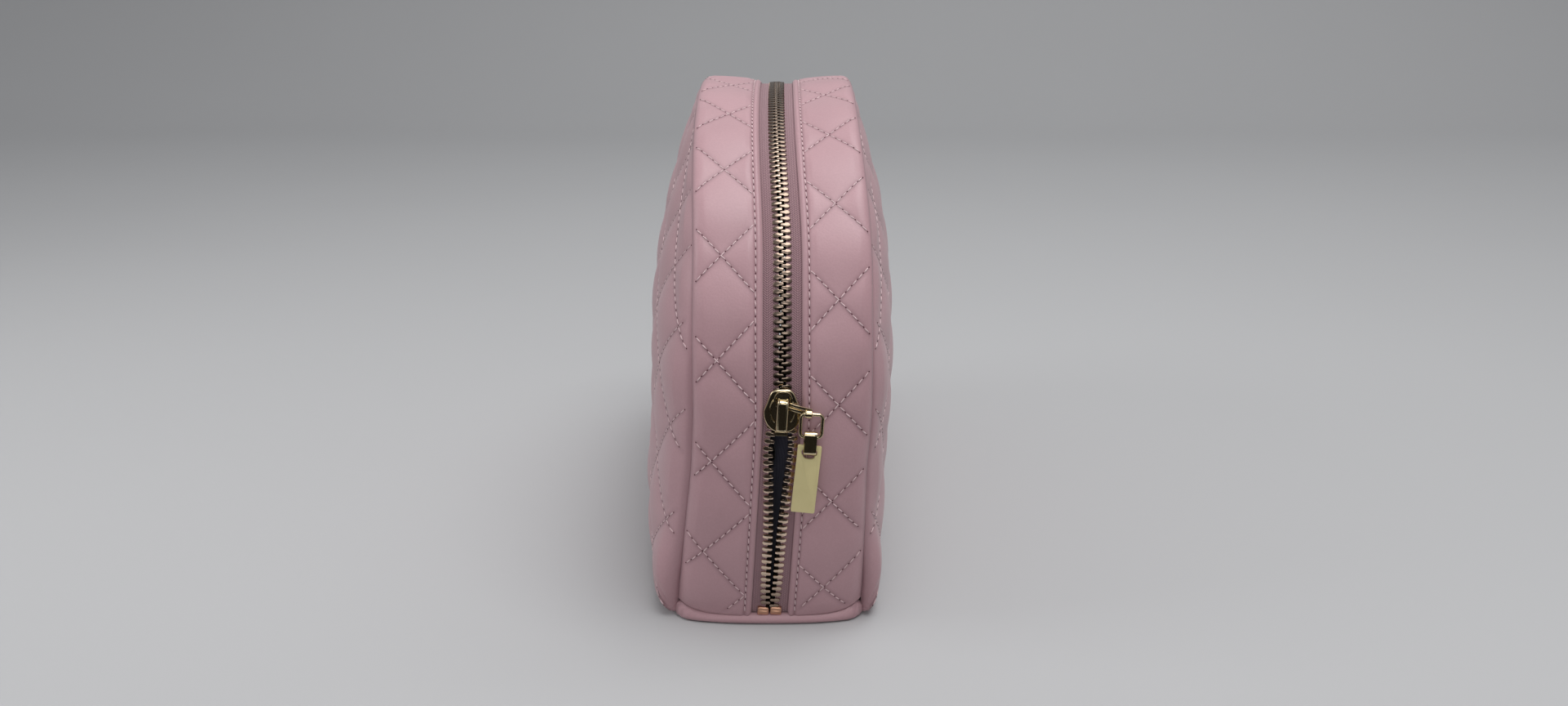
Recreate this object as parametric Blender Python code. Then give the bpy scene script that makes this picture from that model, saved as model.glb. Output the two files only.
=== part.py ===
"""A quilted makeup bag that stands on its base and opens along a zip over the top.

Frame: X runs along the bag, with the end that carries the slider at +X. Y runs through its
thickness, front face at -Y. Z is up, and the origin is the middle of the base, on the table.
Lengths below are millimetres, and every mesh is scaled to metres as it is made.

The zip line is the driving curve. The two gusset strips lie along it, the panels fill the
sides that the gusset's seams enclose, and every layer is an offset of those surfaces.
"""

import math

import bmesh
import bpy
import numpy as np
from mathutils import Matrix, Vector

# ---- driving dimensions, in millimetres ----
HALF_LENGTH = 125.0  # zip line's furthest reach, at WIDEST_Z
HEIGHT = 182.0  # zip line's top
WIDEST_Z = 65.0
END_RADIUS = 300.0  # the ends below WIDEST_Z, and the path of the slider
TOP_POWER_X, TOP_POWER_Z = 1.9, 2.6  # the dome's two powers, as in a superellipse
BASE_HALF_WIDTH = 33.5
GUSSET_HALF_WIDTH = 30.0
GUSSET_SETTLES_Z = 60.0  # the gusset has its own width above this height
LEAN, LEAN_TOP_Z = 5.0, 80.0  # the soft upper part leans towards the back by this much
LEAN_EASES_Z, LEAN_AT_TOP = 130.0, 2.5
FRONT_BULGE, BACK_BULGE = 20.5, 11.5
FULLEST = 0.42  # where up the panel its bulge is greatest
END_CROWN_LOW, END_CROWN_HIGH = 6.0, -2.0  # gusset's crown across, at the base and at the top
CROWN_POWER = 2.6
SEAM_GAP = 0.3  # between pieces sewn edge to edge
SEAM_Z = 3.2  # lower edge of the panels and of the gusset, just above the base's rim

# ---- depth of each layer's two faces under the outer surface ----
LEATHER = (0.0, 1.0)
WADDING = (1.8, 3.2)
LINING = (4.0, 4.6)
TAPE = (1.5, 2.1)
TEETH = (0.6, 3.0)

# ---- zip ----
LEATHER_EDGE = 6.9  # from the zip's middle to the folded edge of the leather
LINING_EDGE = 8.5
WADDING_EDGE = 16.0
TAPE_OUTER_EDGE = 14.5
ROW_WIDTH = 2.75
ROW_CLEARANCE = 0.3
CLOSED_OFFSET = 0.2  # from the zip's middle to the row where the zip is closed
OPEN_ROW = (  # height, and the row's distance from the middle, where the slider parts the rows
    (6.0, 0.4),
    (17.0, 1.0),
    (40.0, 1.3),
    (55.0, 2.1),
    (69.0, 3.05),
    (75.0, 2.5),
    (79.0, 2.0),
    (84.0, 0.6),
    (88.0, CLOSED_OFFSET),
)
ROW_END_Z = 6.6
STOP_LENGTH = 2.4

# ---- slider ----
SLIDER_Z = 83.0
PLATE_OUT, PLATE_IN = 1.1, -0.3  # the top plate's faces, above the outer surface
LOWER_PLATE = (-3.3, -4.3)
RAIL, RAIL_INSET = 0.5, 0.3
BRIDGE_WIDTH, BRIDGE_THICKNESS, BRIDGE_RISE = 3.7, 0.8, 2.9
BRIDGE_TOP, BRIDGE_BOTTOM = 4.6, -6.8  # feet of the bridge along the slider
PIECE_GAP = 0.3

# ---- pull ----
LINK_THICKNESS = 0.8
EYE_RADIUS, EYE_HOLE = 3.9, 2.35
ROLL_RADIUS, ROLL_HOLE = 1.35, 0.9
ROLL_PLACE = (8.6, 0.2)  # roll's middle, across and along the slider
ROLL_WIDTH = 2.4
RING_WIDTH, RING_HEIGHT, RING_BAR = 8.4, 9.2, 1.2
CONNECTOR_WIDTH, CONNECTOR_WALL = 3.8, 0.6
TAG_WIDTH, TAG_LENGTH, TAG_THICKNESS = 8.2, 23.5, 1.0
TAG_BAR, SLOT_WIDTH, SLOT_HEIGHT = 1.3, 5.2, 3.4

MM = 0.001
LEAN_ANGLE = math.atan(LEAN / LEAN_TOP_Z)


# ---- the bag's form ----
def smooth_step(t):
    """0 below 0, 1 above 1, and a smooth rise between."""
    t = min(max(t, 0.0), 1.0)
    return t * t * (3.0 - 2.0 * t)


def lean(z):
    """How far the zip's middle stands towards the back at this height."""
    eased = (LEAN - LEAN_AT_TOP) * smooth_step((z - LEAN_EASES_Z) / (HEIGHT - LEAN_EASES_Z))
    return LEAN * min(z / LEAN_TOP_Z, 1.0) - eased


def half_width(z):
    """Half the gusset's width at this height."""
    narrowing = (BASE_HALF_WIDTH - GUSSET_HALF_WIDTH) * min(z / GUSSET_SETTLES_Z, 1.0)
    return BASE_HALF_WIDTH - narrowing


def crown(z):
    """How far the gusset's seams lie behind its middle at this height."""
    return END_CROWN_LOW + (END_CROWN_HIGH - END_CROWN_LOW) * smooth_step(z / HEIGHT)


def zip_outline():
    """Points of the zip line in the XZ plane, from the slider's end over the top."""
    start = math.asin((WIDEST_Z - SEAM_Z) / END_RADIUS)
    low = [
        (HALF_LENGTH - END_RADIUS * (1 - math.cos(a)), WIDEST_Z - END_RADIUS * math.sin(a))
        for a in np.linspace(start, 0.0, 30, endpoint=False)
    ]
    dome = []
    for a in np.linspace(0.0, math.pi / 2, 120):
        x = HALF_LENGTH * math.cos(a) ** (2 / TOP_POWER_X)
        z = WIDEST_Z + (HEIGHT - WIDEST_Z) * math.sin(a) ** (2 / TOP_POWER_Z)
        dome.append((x, z))
    half = np.array(low + dome)
    return np.vstack([half, (half * (-1, 1))[-2::-1]])


ZIP = zip_outline()
ZIP_S = np.concatenate([[0.0], np.cumsum(np.hypot(*np.diff(ZIP, axis=0).T))])
ZIP_LENGTH = ZIP_S[-1]


def zip_point(s):
    """The zip line's point and outward normal, in XZ, at this distance along it."""
    s = min(max(s, 0.0), ZIP_LENGTH)
    point = np.array([np.interp(s, ZIP_S, ZIP[:, 0]), np.interp(s, ZIP_S, ZIP[:, 1])])
    step = 1.5
    low, high = max(s - step, 0.0), min(s + step, ZIP_LENGTH)
    along = np.array([np.interp(high, ZIP_S, ZIP[:, k]) - np.interp(low, ZIP_S, ZIP[:, k]) for k in (0, 1)])
    along /= np.linalg.norm(along)
    return point, np.array([along[1], -along[0]])


def s_at_height(z):
    """Distance along the zip line to a height on the slider's end."""
    half = len(ZIP) // 2
    return float(np.interp(z, ZIP[: half + 1, 1], ZIP_S[: half + 1]))


def gusset_point(s, across, depth):
    """A point of the gusset: across runs from the zip's middle, minus towards the front."""
    (x, z), (nx, nz) = zip_point(s)
    share = abs(across) / half_width(z)
    inward = crown(z) * share**CROWN_POWER + depth
    return x - nx * inward, lean(z) + across, max(z - nz * inward, SEAM_Z)


def seam_outline():
    """The seam between gusset and panel in the XZ plane, from the slider's end over the top."""
    points = []
    for s in np.linspace(0.0, ZIP_LENGTH, 161):
        (x, z), (nx, nz) = zip_point(s)
        points.append((x - nx * crown(z), max(z - nz * crown(z), SEAM_Z)))
    return np.array(points)


SEAM = seam_outline()
SEAM_S = np.concatenate([[0.0], np.cumsum(np.hypot(*np.diff(SEAM, axis=0).T))])
SEAM_LENGTH = SEAM_S[-1]
SIDE_LENGTH = 75.0  # the part of the seam at each end that forms a side of the panel's patch


def seam_point(s):
    """The seam's point at this distance along it."""
    return np.array([np.interp(s, SEAM_S, SEAM[:, 0]), np.interp(s, SEAM_S, SEAM[:, 1])])


def panel_plan(u, v):
    """A Coons patch over the panel: u runs from -X to +X and v from the base to the top."""
    top = seam_point(SEAM_LENGTH - SIDE_LENGTH - u * (SEAM_LENGTH - 2 * SIDE_LENGTH))
    base = seam_point(SEAM_LENGTH) * (1 - u) + seam_point(0.0) * u
    left = seam_point(SEAM_LENGTH - v * SIDE_LENGTH)
    right = seam_point(v * SIDE_LENGTH)
    corners = (
        seam_point(SEAM_LENGTH) * (1 - u) * (1 - v)
        + seam_point(0.0) * u * (1 - v)
        + seam_point(SEAM_LENGTH - SIDE_LENGTH) * (1 - u) * v
        + seam_point(SIDE_LENGTH) * u * v
    )
    return base * (1 - v) + top * v + left * (1 - u) + right * u - corners


def puff(u, v):
    """0 at the panel's edge and 1 at its middle, fullest low down, where the bag rests."""

    def rise(t, power, steepness):
        return (1 - (1 - min(max(t, 0.0), 1.0)) ** power) ** steepness

    ends = rise(2 * min(u, 1 - u), 2.4, 0.72)
    low = rise(v / FULLEST, 3.4, 0.62)
    high = rise((1 - v) / (1 - FULLEST), 1.9, 0.80)
    return (ends * low * high) ** 0.8


def panel_point(u, v, depth, side):
    """A point of a panel: side is -1 for the front and 1 for the back."""
    x, z = panel_plan(u, v)
    bulge = (FRONT_BULGE if side < 0 else BACK_BULGE) * puff(u, v)
    thickness = LEATHER[1]
    if depth <= thickness:
        out = bulge + thickness - depth
    else:
        out = bulge - (depth - thickness) * bulge / (bulge + 1.0)
    return x, lean(z) + side * (half_width(z) + SEAM_GAP / 2 + out), z


# ---- making objects ----
def material(name, colour, roughness, metallic=0.0):
    """A Principled material of one colour."""
    made = bpy.data.materials.new(name)
    made.use_nodes = True
    shader = made.node_tree.nodes["Principled BSDF"]
    shader.inputs["Base Color"].default_value = (*colour, 1.0)
    shader.inputs["Roughness"].default_value = roughness
    shader.inputs["Metallic"].default_value = metallic
    return made


def empty(name, place):
    """An empty on a joint's axis, given in millimetres."""
    made = bpy.data.objects.new(name, None)
    made.location = Vector(place) * MM
    bpy.context.scene.collection.objects.link(made)
    return made


def finish(name, shape, finish_material, pivot=None, smooth=True):
    """Turns a bmesh in millimetres into an object in metres, under the empty it turns about."""
    bmesh.ops.recalc_face_normals(shape, faces=shape.faces)
    if shape.calc_volume(signed=True) < 0:
        bmesh.ops.reverse_faces(shape, faces=shape.faces)
    shape.transform(Matrix.Scale(MM, 4))
    if pivot:
        shape.transform(Matrix.Translation(-pivot.location))
    mesh = bpy.data.meshes.new(name)
    shape.to_mesh(mesh)
    shape.free()
    if smooth:
        mesh.shade_smooth()
        mesh.set_sharp_from_angle(angle=math.radians(35))
    mesh.materials.append(finish_material)
    made = bpy.data.objects.new(name, mesh)
    made.parent = pivot
    bpy.context.scene.collection.objects.link(made)
    return made


def helper(shape, target, operation):
    """Cuts or joins a bmesh into an object with a Boolean, and hides the helper."""
    tool = finish(f"{target.name}_{operation.lower()}_{len(target.modifiers)}", shape, BOARD, target.parent)
    tool.hide_render = True
    tool.display_type = "WIRE"
    change = target.modifiers.new(tool.name, "BOOLEAN")
    change.operation = operation
    change.object = tool


def grid(shape, across, along, place):
    """A grid of faces whose corners are placed by place(u, v), and its boundary edges."""
    made = bmesh.ops.create_grid(shape, x_segments=across, y_segments=along, size=1.0)
    verts = made["verts"]
    for vert in verts:
        vert.co = place((vert.co.x + 1) / 2, (vert.co.y + 1) / 2)
    edges = {edge for vert in verts for edge in vert.link_edges}
    return [edge for edge in edges if edge.is_boundary]


def layer(name, across, along, place, depths, finish_material, pivot=None):
    """A sheet of real thickness between two depths of a surface, closed round its rim."""
    shape = bmesh.new()
    rims = [grid(shape, across, along, lambda u, v, d=d: place(u, v, d)) for d in depths]
    bmesh.ops.bridge_loops(shape, edges=rims[0] + rims[1])
    return finish(name, shape, finish_material, pivot)


def prism(outline, low, high, place):
    """A flat outline between two heights, each corner placed by place(across, along, height)."""
    shape = bmesh.new()
    face = shape.faces.new([shape.verts.new((*point, low)) for point in outline])
    walls = bmesh.ops.extrude_face_region(shape, geom=[face])
    moved = [item for item in walls["geom"] if isinstance(item, bmesh.types.BMVert)]
    bmesh.ops.translate(shape, verts=moved, vec=(0, 0, high - low))
    for vert in shape.verts:
        vert.co = place(*vert.co)
    return shape


def arc(cx, cy, radius, start, end, steps):
    """Points on an arc, with its angles in degrees."""
    angles = np.radians(np.linspace(start, end, steps))
    return [(cx + radius * math.cos(a), cy + radius * math.sin(a)) for a in angles]


def rounded_box(width, height, radius, steps=4):
    """A rectangle about the origin with round corners."""
    x, y = width / 2 - radius, height / 2 - radius
    points = []
    for cx, cy, start in ((x, y, 0), (-x, y, 90), (-x, -y, 180), (x, -y, 270)):
        points += arc(cx, cy, radius, start, start + 90, steps)
    return points


# ---- soft parts ----
PANEL_CELLS = (16, 12)  # along the bag and up it, the same stations for every layer


def panel_station(index, segments):
    """Grid lines drawn towards the panel's edges, where it curves most."""
    t = index / segments
    eased = 0.5 - 0.5 * math.cos(math.pi * t)
    return 0.55 * eased + 0.45 * t


def panel(name, side, depths, skipped, finish_material, pivot=None):
    """One layer of the front or back panel, short of the seam by some rings of the grid."""
    across, along = PANEL_CELLS

    def place(u, v, depth):
        column = skipped + u * (across - 2 * skipped)
        row = skipped + v * (along - 2 * skipped)
        return panel_point(panel_station(column, across), panel_station(row, along), depth, side)

    return layer(name, across - 2 * skipped, along - 2 * skipped, place, depths, finish_material, pivot)


GUSSET_CELLS = 40


def gusset(name, side, inner_edge, outer_inset, depths, across, finish_material, pivot=None):
    """One layer of a gusset strip, between an edge by the zip and the seam."""

    def place(u, v, depth):
        s = v * ZIP_LENGTH
        outer = half_width(zip_point(s)[0][1]) - SEAM_GAP / 2 - outer_inset
        return gusset_point(s, side * (inner_edge + u * (outer - inner_edge)), depth)

    return layer(name, across, GUSSET_CELLS, place, depths, finish_material, pivot)


def row_offset(s):
    """Distance from the zip's middle to a row of teeth."""
    if s > s_at_height(OPEN_ROW[-1][0]):
        return CLOSED_OFFSET
    heights, offsets = zip(*OPEN_ROW)
    return float(np.interp(zip_point(s)[0][1], heights, offsets))


ROW_START = s_at_height(ROW_END_Z)
ROW_STATIONS = sorted(
    [s_at_height(z) for z in (ROW_END_Z, 18, 30, 40, 49, 58, 67, 71, 75, 79, 81.5, 84, 86, 88, 95)]
    + list(np.linspace(s_at_height(95) + 9, ZIP_LENGTH - ROW_START, 34))
)


def zip_strip(name, edges, depths, finish_material, pivot, start=None):
    """A strip along the zip between two distances from its middle, both functions of s."""
    stations = list(ROW_STATIONS)
    if start is not None:
        stations = [start, *stations, ZIP_LENGTH - start]

    def place(u, v, depth):
        s = stations[round(v * (len(stations) - 1))]
        near, far = (edge(s) for edge in edges)
        return gusset_point(s, near + u * (far - near), depth)

    return layer(name, 1, len(stations) - 1, place, depths, finish_material, pivot)


def zip_half(name, side, pivot):
    """One tape and its row of teeth."""

    def row_inner(s):
        return side * row_offset(s)

    def row_outer(s):
        return side * (row_offset(s) + ROW_WIDTH)

    def tape_inner(s):
        return side * (row_offset(s) + ROW_WIDTH + ROW_CLEARANCE)

    zip_strip(f"{name}_zip_teeth", (row_inner, row_outer), TEETH, BRASS, pivot)
    tape_edges = (tape_inner, lambda s: side * TAPE_OUTER_EDGE)
    zip_strip(f"{name}_zip_tape", tape_edges, TAPE, TAPE_CLOTH, pivot, 0.4)


def zip_stop(name, s, across, width, pivot=None):
    """A crimped metal stop across the end of a row."""

    def place(u, v, depth):
        return gusset_point(s + v * STOP_LENGTH, across + (u - 0.5) * width, depth)

    layer(name, 1, 1, place, (TEETH[0] - 0.1, TEETH[1] + 0.1), BRASS, pivot)


# ---- base ----
def base_outline(inset, end_inset=0.0):
    """The base in plan, with crowned short ends, inset by this much all round."""
    middle = zip_point(0.0)[0][0] - inset - end_inset
    half = BASE_HALF_WIDTH - inset
    end = [(middle - END_CROWN_LOW * abs(t) ** CROWN_POWER, half * t) for t in np.linspace(-1, 1, 9)]
    return end + [(-x, -y) for x, y in end]


def upright(x, y, z):
    """Plan coordinates used as they are."""
    return x, y, z


def make_base():
    """The base panel as a shallow tray, with its board and its lining."""
    tray = finish("base_panel", prism(base_outline(0.0), 0.0, 2.9, upright), LEATHER_PINK, smooth=False)
    helper(prism(base_outline(1.2), 1.2, 5.0, upright), tray, "DIFFERENCE")
    finish("base_board", prism(base_outline(1.5), 1.5, 2.9, upright), BOARD, smooth=False)
    finish("base_lining", prism(base_outline(3.0, 3.0), 3.3, 3.9, upright), LINING_CLOTH, smooth=False)


# ---- slider and pull ----
class Local:
    """A frame fixed to the slider: across, along (up the zip) and out from the surface."""

    def __init__(self, origin, across, along, out):
        self.origin = Vector(origin)
        self.axes = [Vector(axis) for axis in (across, along, out)]

    def place(self, across, along, out):
        """A point of this frame, in the bag's frame."""
        a, b, c = self.axes
        return self.origin + a * across + b * along + c * out

    def side(self, along, out, across):
        """The same, for an outline drawn along and out, extruded across."""
        return self.place(across, along, out)


def slider_frames():
    """The slider's frame on the zip, the plumb frame of the pull, and the travel's centre."""
    rise = math.asin((SLIDER_Z - WIDEST_Z) / END_RADIUS)
    across = Vector((0, math.cos(LEAN_ANGLE), -math.sin(LEAN_ANGLE)))
    plumb = Vector((0, math.sin(LEAN_ANGLE), math.cos(LEAN_ANGLE)))
    out = Vector((math.cos(rise), 0, 0)) + plumb * math.sin(rise)
    along = out.cross(across) * -1
    x = HALF_LENGTH - END_RADIUS * (1 - math.cos(rise))
    surface = Vector((x, LEAN, SLIDER_Z))
    slider = Local(surface, across, -along if along.z < 0 else along, out)
    roll = slider.place(*ROLL_PLACE, PLATE_OUT + PIECE_GAP + ROLL_RADIUS)
    pull = Local(roll, across, plumb, (1, 0, 0))
    return slider, pull, surface - out * END_RADIUS


SLIDER, PULL, TRAVEL_CENTRE = slider_frames()
RING_DROP = RING_HEIGHT - RING_BAR  # between the middles of the ring's top and bottom bars
CONNECTOR_DROP = 3.6  # between the ring's bottom bar and the tag's bar, inside the connector
RING_SHIFT = 1.2  # the ring's middle lies further out than the roll's


def slider_outline(inset=0.0):
    """The slider's plate: narrow where the closed teeth leave it, wide where they enter."""
    right = [(2.2, 7.4), (3.9, 5.6), (5.0, 2.6), (5.8, -0.8), (5.9, -3.0), (4.9, -5.4), (2.6, -7.2)]
    right = [(x - inset, y) for x, y in right]
    return right + [(-x, y) for x, y in reversed(right)]


def rail_outline(side):
    """The flange that keeps the rows in the slider, along one edge of the plate."""
    edge = [(4.6, 3.6), (5.0, 2.6), (5.8, -0.8), (5.9, -3.0)]
    edge = [(x - RAIL_INSET, y) for x, y in edge]
    inner = [(x - RAIL, y) for x, y in reversed(edge)]
    return [(side * x, y) for x, y in edge + inner]


def make_slider(pivot):
    """The slider's body and its bridge."""
    body = finish("slider_body", prism(slider_outline(), PLATE_IN, PLATE_OUT, SLIDER.place), GOLD, pivot)
    lower = prism(slider_outline(0.2), LOWER_PLATE[1], LOWER_PLATE[0], SLIDER.place)
    neck = [(-1.2, -6.4), (1.2, -6.4), (1.2, -5.6), (0.4, -3.6), (-0.4, -3.6), (-1.2, -5.6)]
    middle = (PLATE_IN + PLATE_OUT) / 2
    helper(prism(neck, LOWER_PLATE[0] - 0.5, middle, SLIDER.place), body, "UNION")
    helper(lower, body, "UNION")
    for side in (-1, 1):
        helper(prism(rail_outline(side), PLATE_IN - 0.6, middle, SLIDER.place), body, "UNION")
        rail = prism(rail_outline(side), LOWER_PLATE[0] - 0.5, LOWER_PLATE[0] + 0.6, SLIDER.place)
        helper(rail, body, "UNION")
    foot = PLATE_OUT + PIECE_GAP
    peak = PLATE_OUT + BRIDGE_RISE
    outer = [(BRIDGE_TOP, foot), (BRIDGE_TOP, peak - 1.2), (BRIDGE_TOP - 1.2, peak)]
    outer += [(BRIDGE_BOTTOM + 1.2, peak), (BRIDGE_BOTTOM, peak - 1.2), (BRIDGE_BOTTOM, foot)]
    t = BRIDGE_THICKNESS
    inner = [(BRIDGE_BOTTOM + t, foot), (BRIDGE_BOTTOM + t, peak - 1.5), (BRIDGE_BOTTOM + 1.5, peak - t)]
    inner += [(BRIDGE_TOP - 1.5, peak - t), (BRIDGE_TOP - t, peak - 1.5), (BRIDGE_TOP - t, foot)]
    half = BRIDGE_WIDTH / 2
    finish("slider_bridge", prism(outer + inner, -half, half, SLIDER.side), GOLD, pivot)


def make_link(pivot):
    """The flat eye round the bridge's upper foot, with a tail rolled round the ring."""
    low = PLATE_OUT + PIECE_GAP
    high = low + LINK_THICKNESS
    eye = (0.0, BRIDGE_TOP - BRIDGE_THICKNESS / 2)
    roll_x, roll_y = ROLL_PLACE
    link = finish("pull_link", prism(arc(*eye, EYE_RADIUS, 0, 345, 24), low, high, SLIDER.place), GOLD, pivot)
    half = ROLL_WIDTH / 2
    near_eye = [(2.6, eye[1] + 2.2), (1.2, eye[1] - 3.2)]
    tail = [*near_eye, (roll_x - half, roll_y - 0.4), (roll_x + half, roll_y + 0.6)]
    helper(prism(tail, low, high, SLIDER.place), link, "UNION")
    roll = arc(roll_y, low + ROLL_RADIUS, ROLL_RADIUS, 0, 330, 12)
    helper(prism(roll, roll_x - half, roll_x + half, SLIDER.side), link, "UNION")
    helper(prism(arc(*eye, EYE_HOLE, 0, 342, 20), low - 1, high + 1, SLIDER.place), link, "DIFFERENCE")
    hole = arc(roll_y, low + ROLL_RADIUS, ROLL_HOLE, 0, 330, 12)
    helper(prism(hole, roll_x - half - 1, roll_x + half + 1, SLIDER.side), link, "DIFFERENCE")


def make_ring(pivot):
    """The rectangular ring that hangs in the link's roll, of round bar where it bears."""
    middle = -RING_DROP / 2

    def shifted(points):
        return [(x + RING_SHIFT, y + middle) for x, y in points]

    half = RING_BAR / 2
    outer = shifted(rounded_box(RING_WIDTH, RING_HEIGHT, 1.4))
    inner = shifted(rounded_box(RING_WIDTH - 2 * RING_BAR, RING_HEIGHT - 2 * RING_BAR, 0.5))
    ring = finish("pull_ring", prism(outer, -half, half, PULL.place), GOLD, pivot)
    helper(prism(inner, -half - 1, half + 1, PULL.place), ring, "DIFFERENCE")
    ease = ring.modifiers.new("round_bar", "BEVEL")
    ease.width = 0.3 * MM
    ease.segments = 1
    ease.limit_method = "ANGLE"
    ease.angle_limit = math.radians(60)


def make_connector(pivot):
    """The folded strap that joins the ring's bottom bar to the tag."""
    bottom, top = -RING_DROP - CONNECTOR_DROP, -RING_DROP
    inside = RING_BAR / 2 + 0.35
    half = CONNECTOR_WIDTH / 2

    def loop(radius):
        return arc(top, 0.0, radius, -90, 90, 7) + arc(bottom, 0.0, radius, 90, 270, 7)

    spans = (RING_SHIFT - half, RING_SHIFT + half)
    strap = finish("pull_connector", prism(loop(inside + CONNECTOR_WALL), *spans, PULL.side), GOLD, pivot)
    helper(prism(loop(inside), spans[0] - 1, spans[1] + 1, PULL.side), strap, "DIFFERENCE")


def make_tag(pivot):
    """The flat tag, with the slot that the connector passes through."""
    top = -RING_DROP - CONNECTOR_DROP + TAG_BAR / 2
    half = TAG_THICKNESS / 2

    def shifted(points, y):
        return [(px + RING_SHIFT, py + y) for px, py in points]

    plate = shifted(rounded_box(TAG_WIDTH, TAG_LENGTH, 0.5, 3), top - TAG_LENGTH / 2)
    slot = shifted(rounded_box(SLOT_WIDTH, SLOT_HEIGHT, 1.3, 4), top - TAG_BAR - SLOT_HEIGHT / 2)
    tag = finish("pull_tag", prism(plate, -half, half, PULL.place), GOLD, pivot)
    helper(prism(slot, -half - 1, half + 1, PULL.place), tag, "DIFFERENCE")


# ---- assembly ----
def clear_scene():
    """Removes what the scene holds at the start."""
    for old in list(bpy.data.objects):
        bpy.data.objects.remove(old, do_unlink=True)


clear_scene()
LEATHER_PINK = material("leather_pink", (0.62, 0.40, 0.44), 0.45)
LINING_CLOTH = material("lining_dark", (0.02, 0.02, 0.03), 0.8)
WADDING_FOAM = material("wadding", (0.85, 0.84, 0.80), 0.9)
TAPE_CLOTH = material("tape_pink", (0.45, 0.28, 0.31), 0.85)
BRASS = material("teeth_brass", (0.60, 0.47, 0.30), 0.3, 1.0)
GOLD = material("gold_plate", (0.78, 0.66, 0.38), 0.18, 1.0)
BOARD = material("board", (0.35, 0.33, 0.30), 0.8)

FRONT_HINGE = (0.0, -BASE_HALF_WIDTH, SEAM_Z - 0.15)
EYE_AXIS = SLIDER.place(0.0, BRIDGE_TOP - BRIDGE_THICKNESS / 2, PLATE_OUT)


def build():
    """Makes every piece of the bag."""
    front = empty("front_half_pivot", FRONT_HINGE)
    travel = empty("slider_travel_pivot", TRAVEL_CENTRE)
    link_pivot = empty("link_pivot", EYE_AXIS)
    ring_pivot = empty("ring_pivot", PULL.place(0, 0, 0))
    connector_pivot = empty("connector_pivot", PULL.place(RING_SHIFT, -RING_DROP, 0))
    tag_pivot = empty("tag_pivot", PULL.place(RING_SHIFT, -RING_DROP - CONNECTOR_DROP, 0))
    make_base()
    for name, side, pivot in (("back", 1, None), ("front", -1, front)):
        panel(f"{name}_panel", side, LEATHER, 0, LEATHER_PINK, pivot)
        panel(f"{name}_panel_wadding", side, WADDING, 1, WADDING_FOAM, pivot)
        panel(f"{name}_panel_lining", side, LINING, 2, LINING_CLOTH, pivot)
        gusset(f"{name}_gusset", side, LEATHER_EDGE, 0.0, LEATHER, 2, LEATHER_PINK, pivot)
        gusset(f"{name}_gusset_wadding", side, WADDING_EDGE, 1.0, WADDING, 1, WADDING_FOAM, pivot)
        gusset(f"{name}_gusset_lining", side, LINING_EDGE, 1.0, LINING, 1, LINING_CLOTH, pivot)
        zip_half(name, side, pivot)
        row_middle = side * (row_offset(ROW_START) + ROW_WIDTH / 2)
        zip_stop(f"{name}_end_stop", ROW_START - STOP_LENGTH - 0.3, row_middle, ROW_WIDTH, pivot)
    zip_stop("far_end_stop", ZIP_LENGTH - ROW_START + 0.3, 0.0, 2 * ROW_WIDTH + 0.4)
    make_slider(travel)
    make_link(link_pivot)
    make_ring(ring_pivot)
    make_connector(connector_pivot)
    make_tag(tag_pivot)


build()
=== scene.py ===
"""Looks of a quilted makeup bag: soft puffed leather, thread, a metal zip and its pull.

Sizes are millimetres in every class here and become metres when a mesh is made. The frame is the
solids' own: +X towards the end with the slider, +Y from the front panel to the back one, +Z up.
"""

from __future__ import annotations

import logging
import math
from dataclasses import dataclass, field
from enum import Enum
from typing import Callable, Sequence

import bmesh
import bpy
import numpy as np
from mathutils import Matrix, Vector


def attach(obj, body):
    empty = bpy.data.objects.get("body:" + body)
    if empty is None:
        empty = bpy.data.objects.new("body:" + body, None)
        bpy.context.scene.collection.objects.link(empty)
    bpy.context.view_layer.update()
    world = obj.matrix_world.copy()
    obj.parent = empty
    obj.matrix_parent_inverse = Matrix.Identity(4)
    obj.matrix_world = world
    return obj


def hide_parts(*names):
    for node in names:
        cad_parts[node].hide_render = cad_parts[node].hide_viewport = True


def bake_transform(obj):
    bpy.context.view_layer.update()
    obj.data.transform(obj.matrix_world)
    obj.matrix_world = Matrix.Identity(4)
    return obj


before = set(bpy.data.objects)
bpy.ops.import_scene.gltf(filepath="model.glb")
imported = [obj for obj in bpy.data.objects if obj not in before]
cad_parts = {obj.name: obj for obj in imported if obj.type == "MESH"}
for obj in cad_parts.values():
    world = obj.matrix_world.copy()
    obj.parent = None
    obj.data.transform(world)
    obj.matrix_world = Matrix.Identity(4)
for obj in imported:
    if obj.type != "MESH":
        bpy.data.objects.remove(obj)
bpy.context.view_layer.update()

log = logging.getLogger("makeup_bag")
MM = 0.001
Array = np.ndarray
Triple = tuple[float, float, float]
Flat = tuple[Array, Array]
Frames = tuple[Array, Array, Array]
MIDDLE = np.array((0.0, 0.0, 70.0))  # a point well inside the bag
MIRROR_SHIFT = 512.0  # added along a panel, so that its quilting isn't mirrored


class Side(Enum):
    """Which half of the bag a piece belongs to."""

    FRONT = -1
    BACK = 1

    @property
    def label(self) -> str:
        """The name that the half's pieces begin with."""
        return self.name.lower()


# ---- the bag's form ----
def smooth_step(t: Array) -> Array:
    """0 below 0, 1 above 1, and a smooth rise between."""
    t = np.clip(t, 0.0, 1.0)
    return t * t * (3.0 - 2.0 * t)


def fillet(distance: Array, width: float, depth: float) -> Array:
    """How far a rounded edge has dropped at a distance in from the edge.

    Args:
        distance: distances from the edge.
        width: how far in the rounding reaches.
        depth: the drop at the edge itself.

    Returns:
        The drop, as a quarter of an ellipse.
    """
    inside = np.clip(1 - np.abs(distance) / width, 0.0, 1.0)
    return depth * (1 - np.sqrt(1 - inside * inside))


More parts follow.
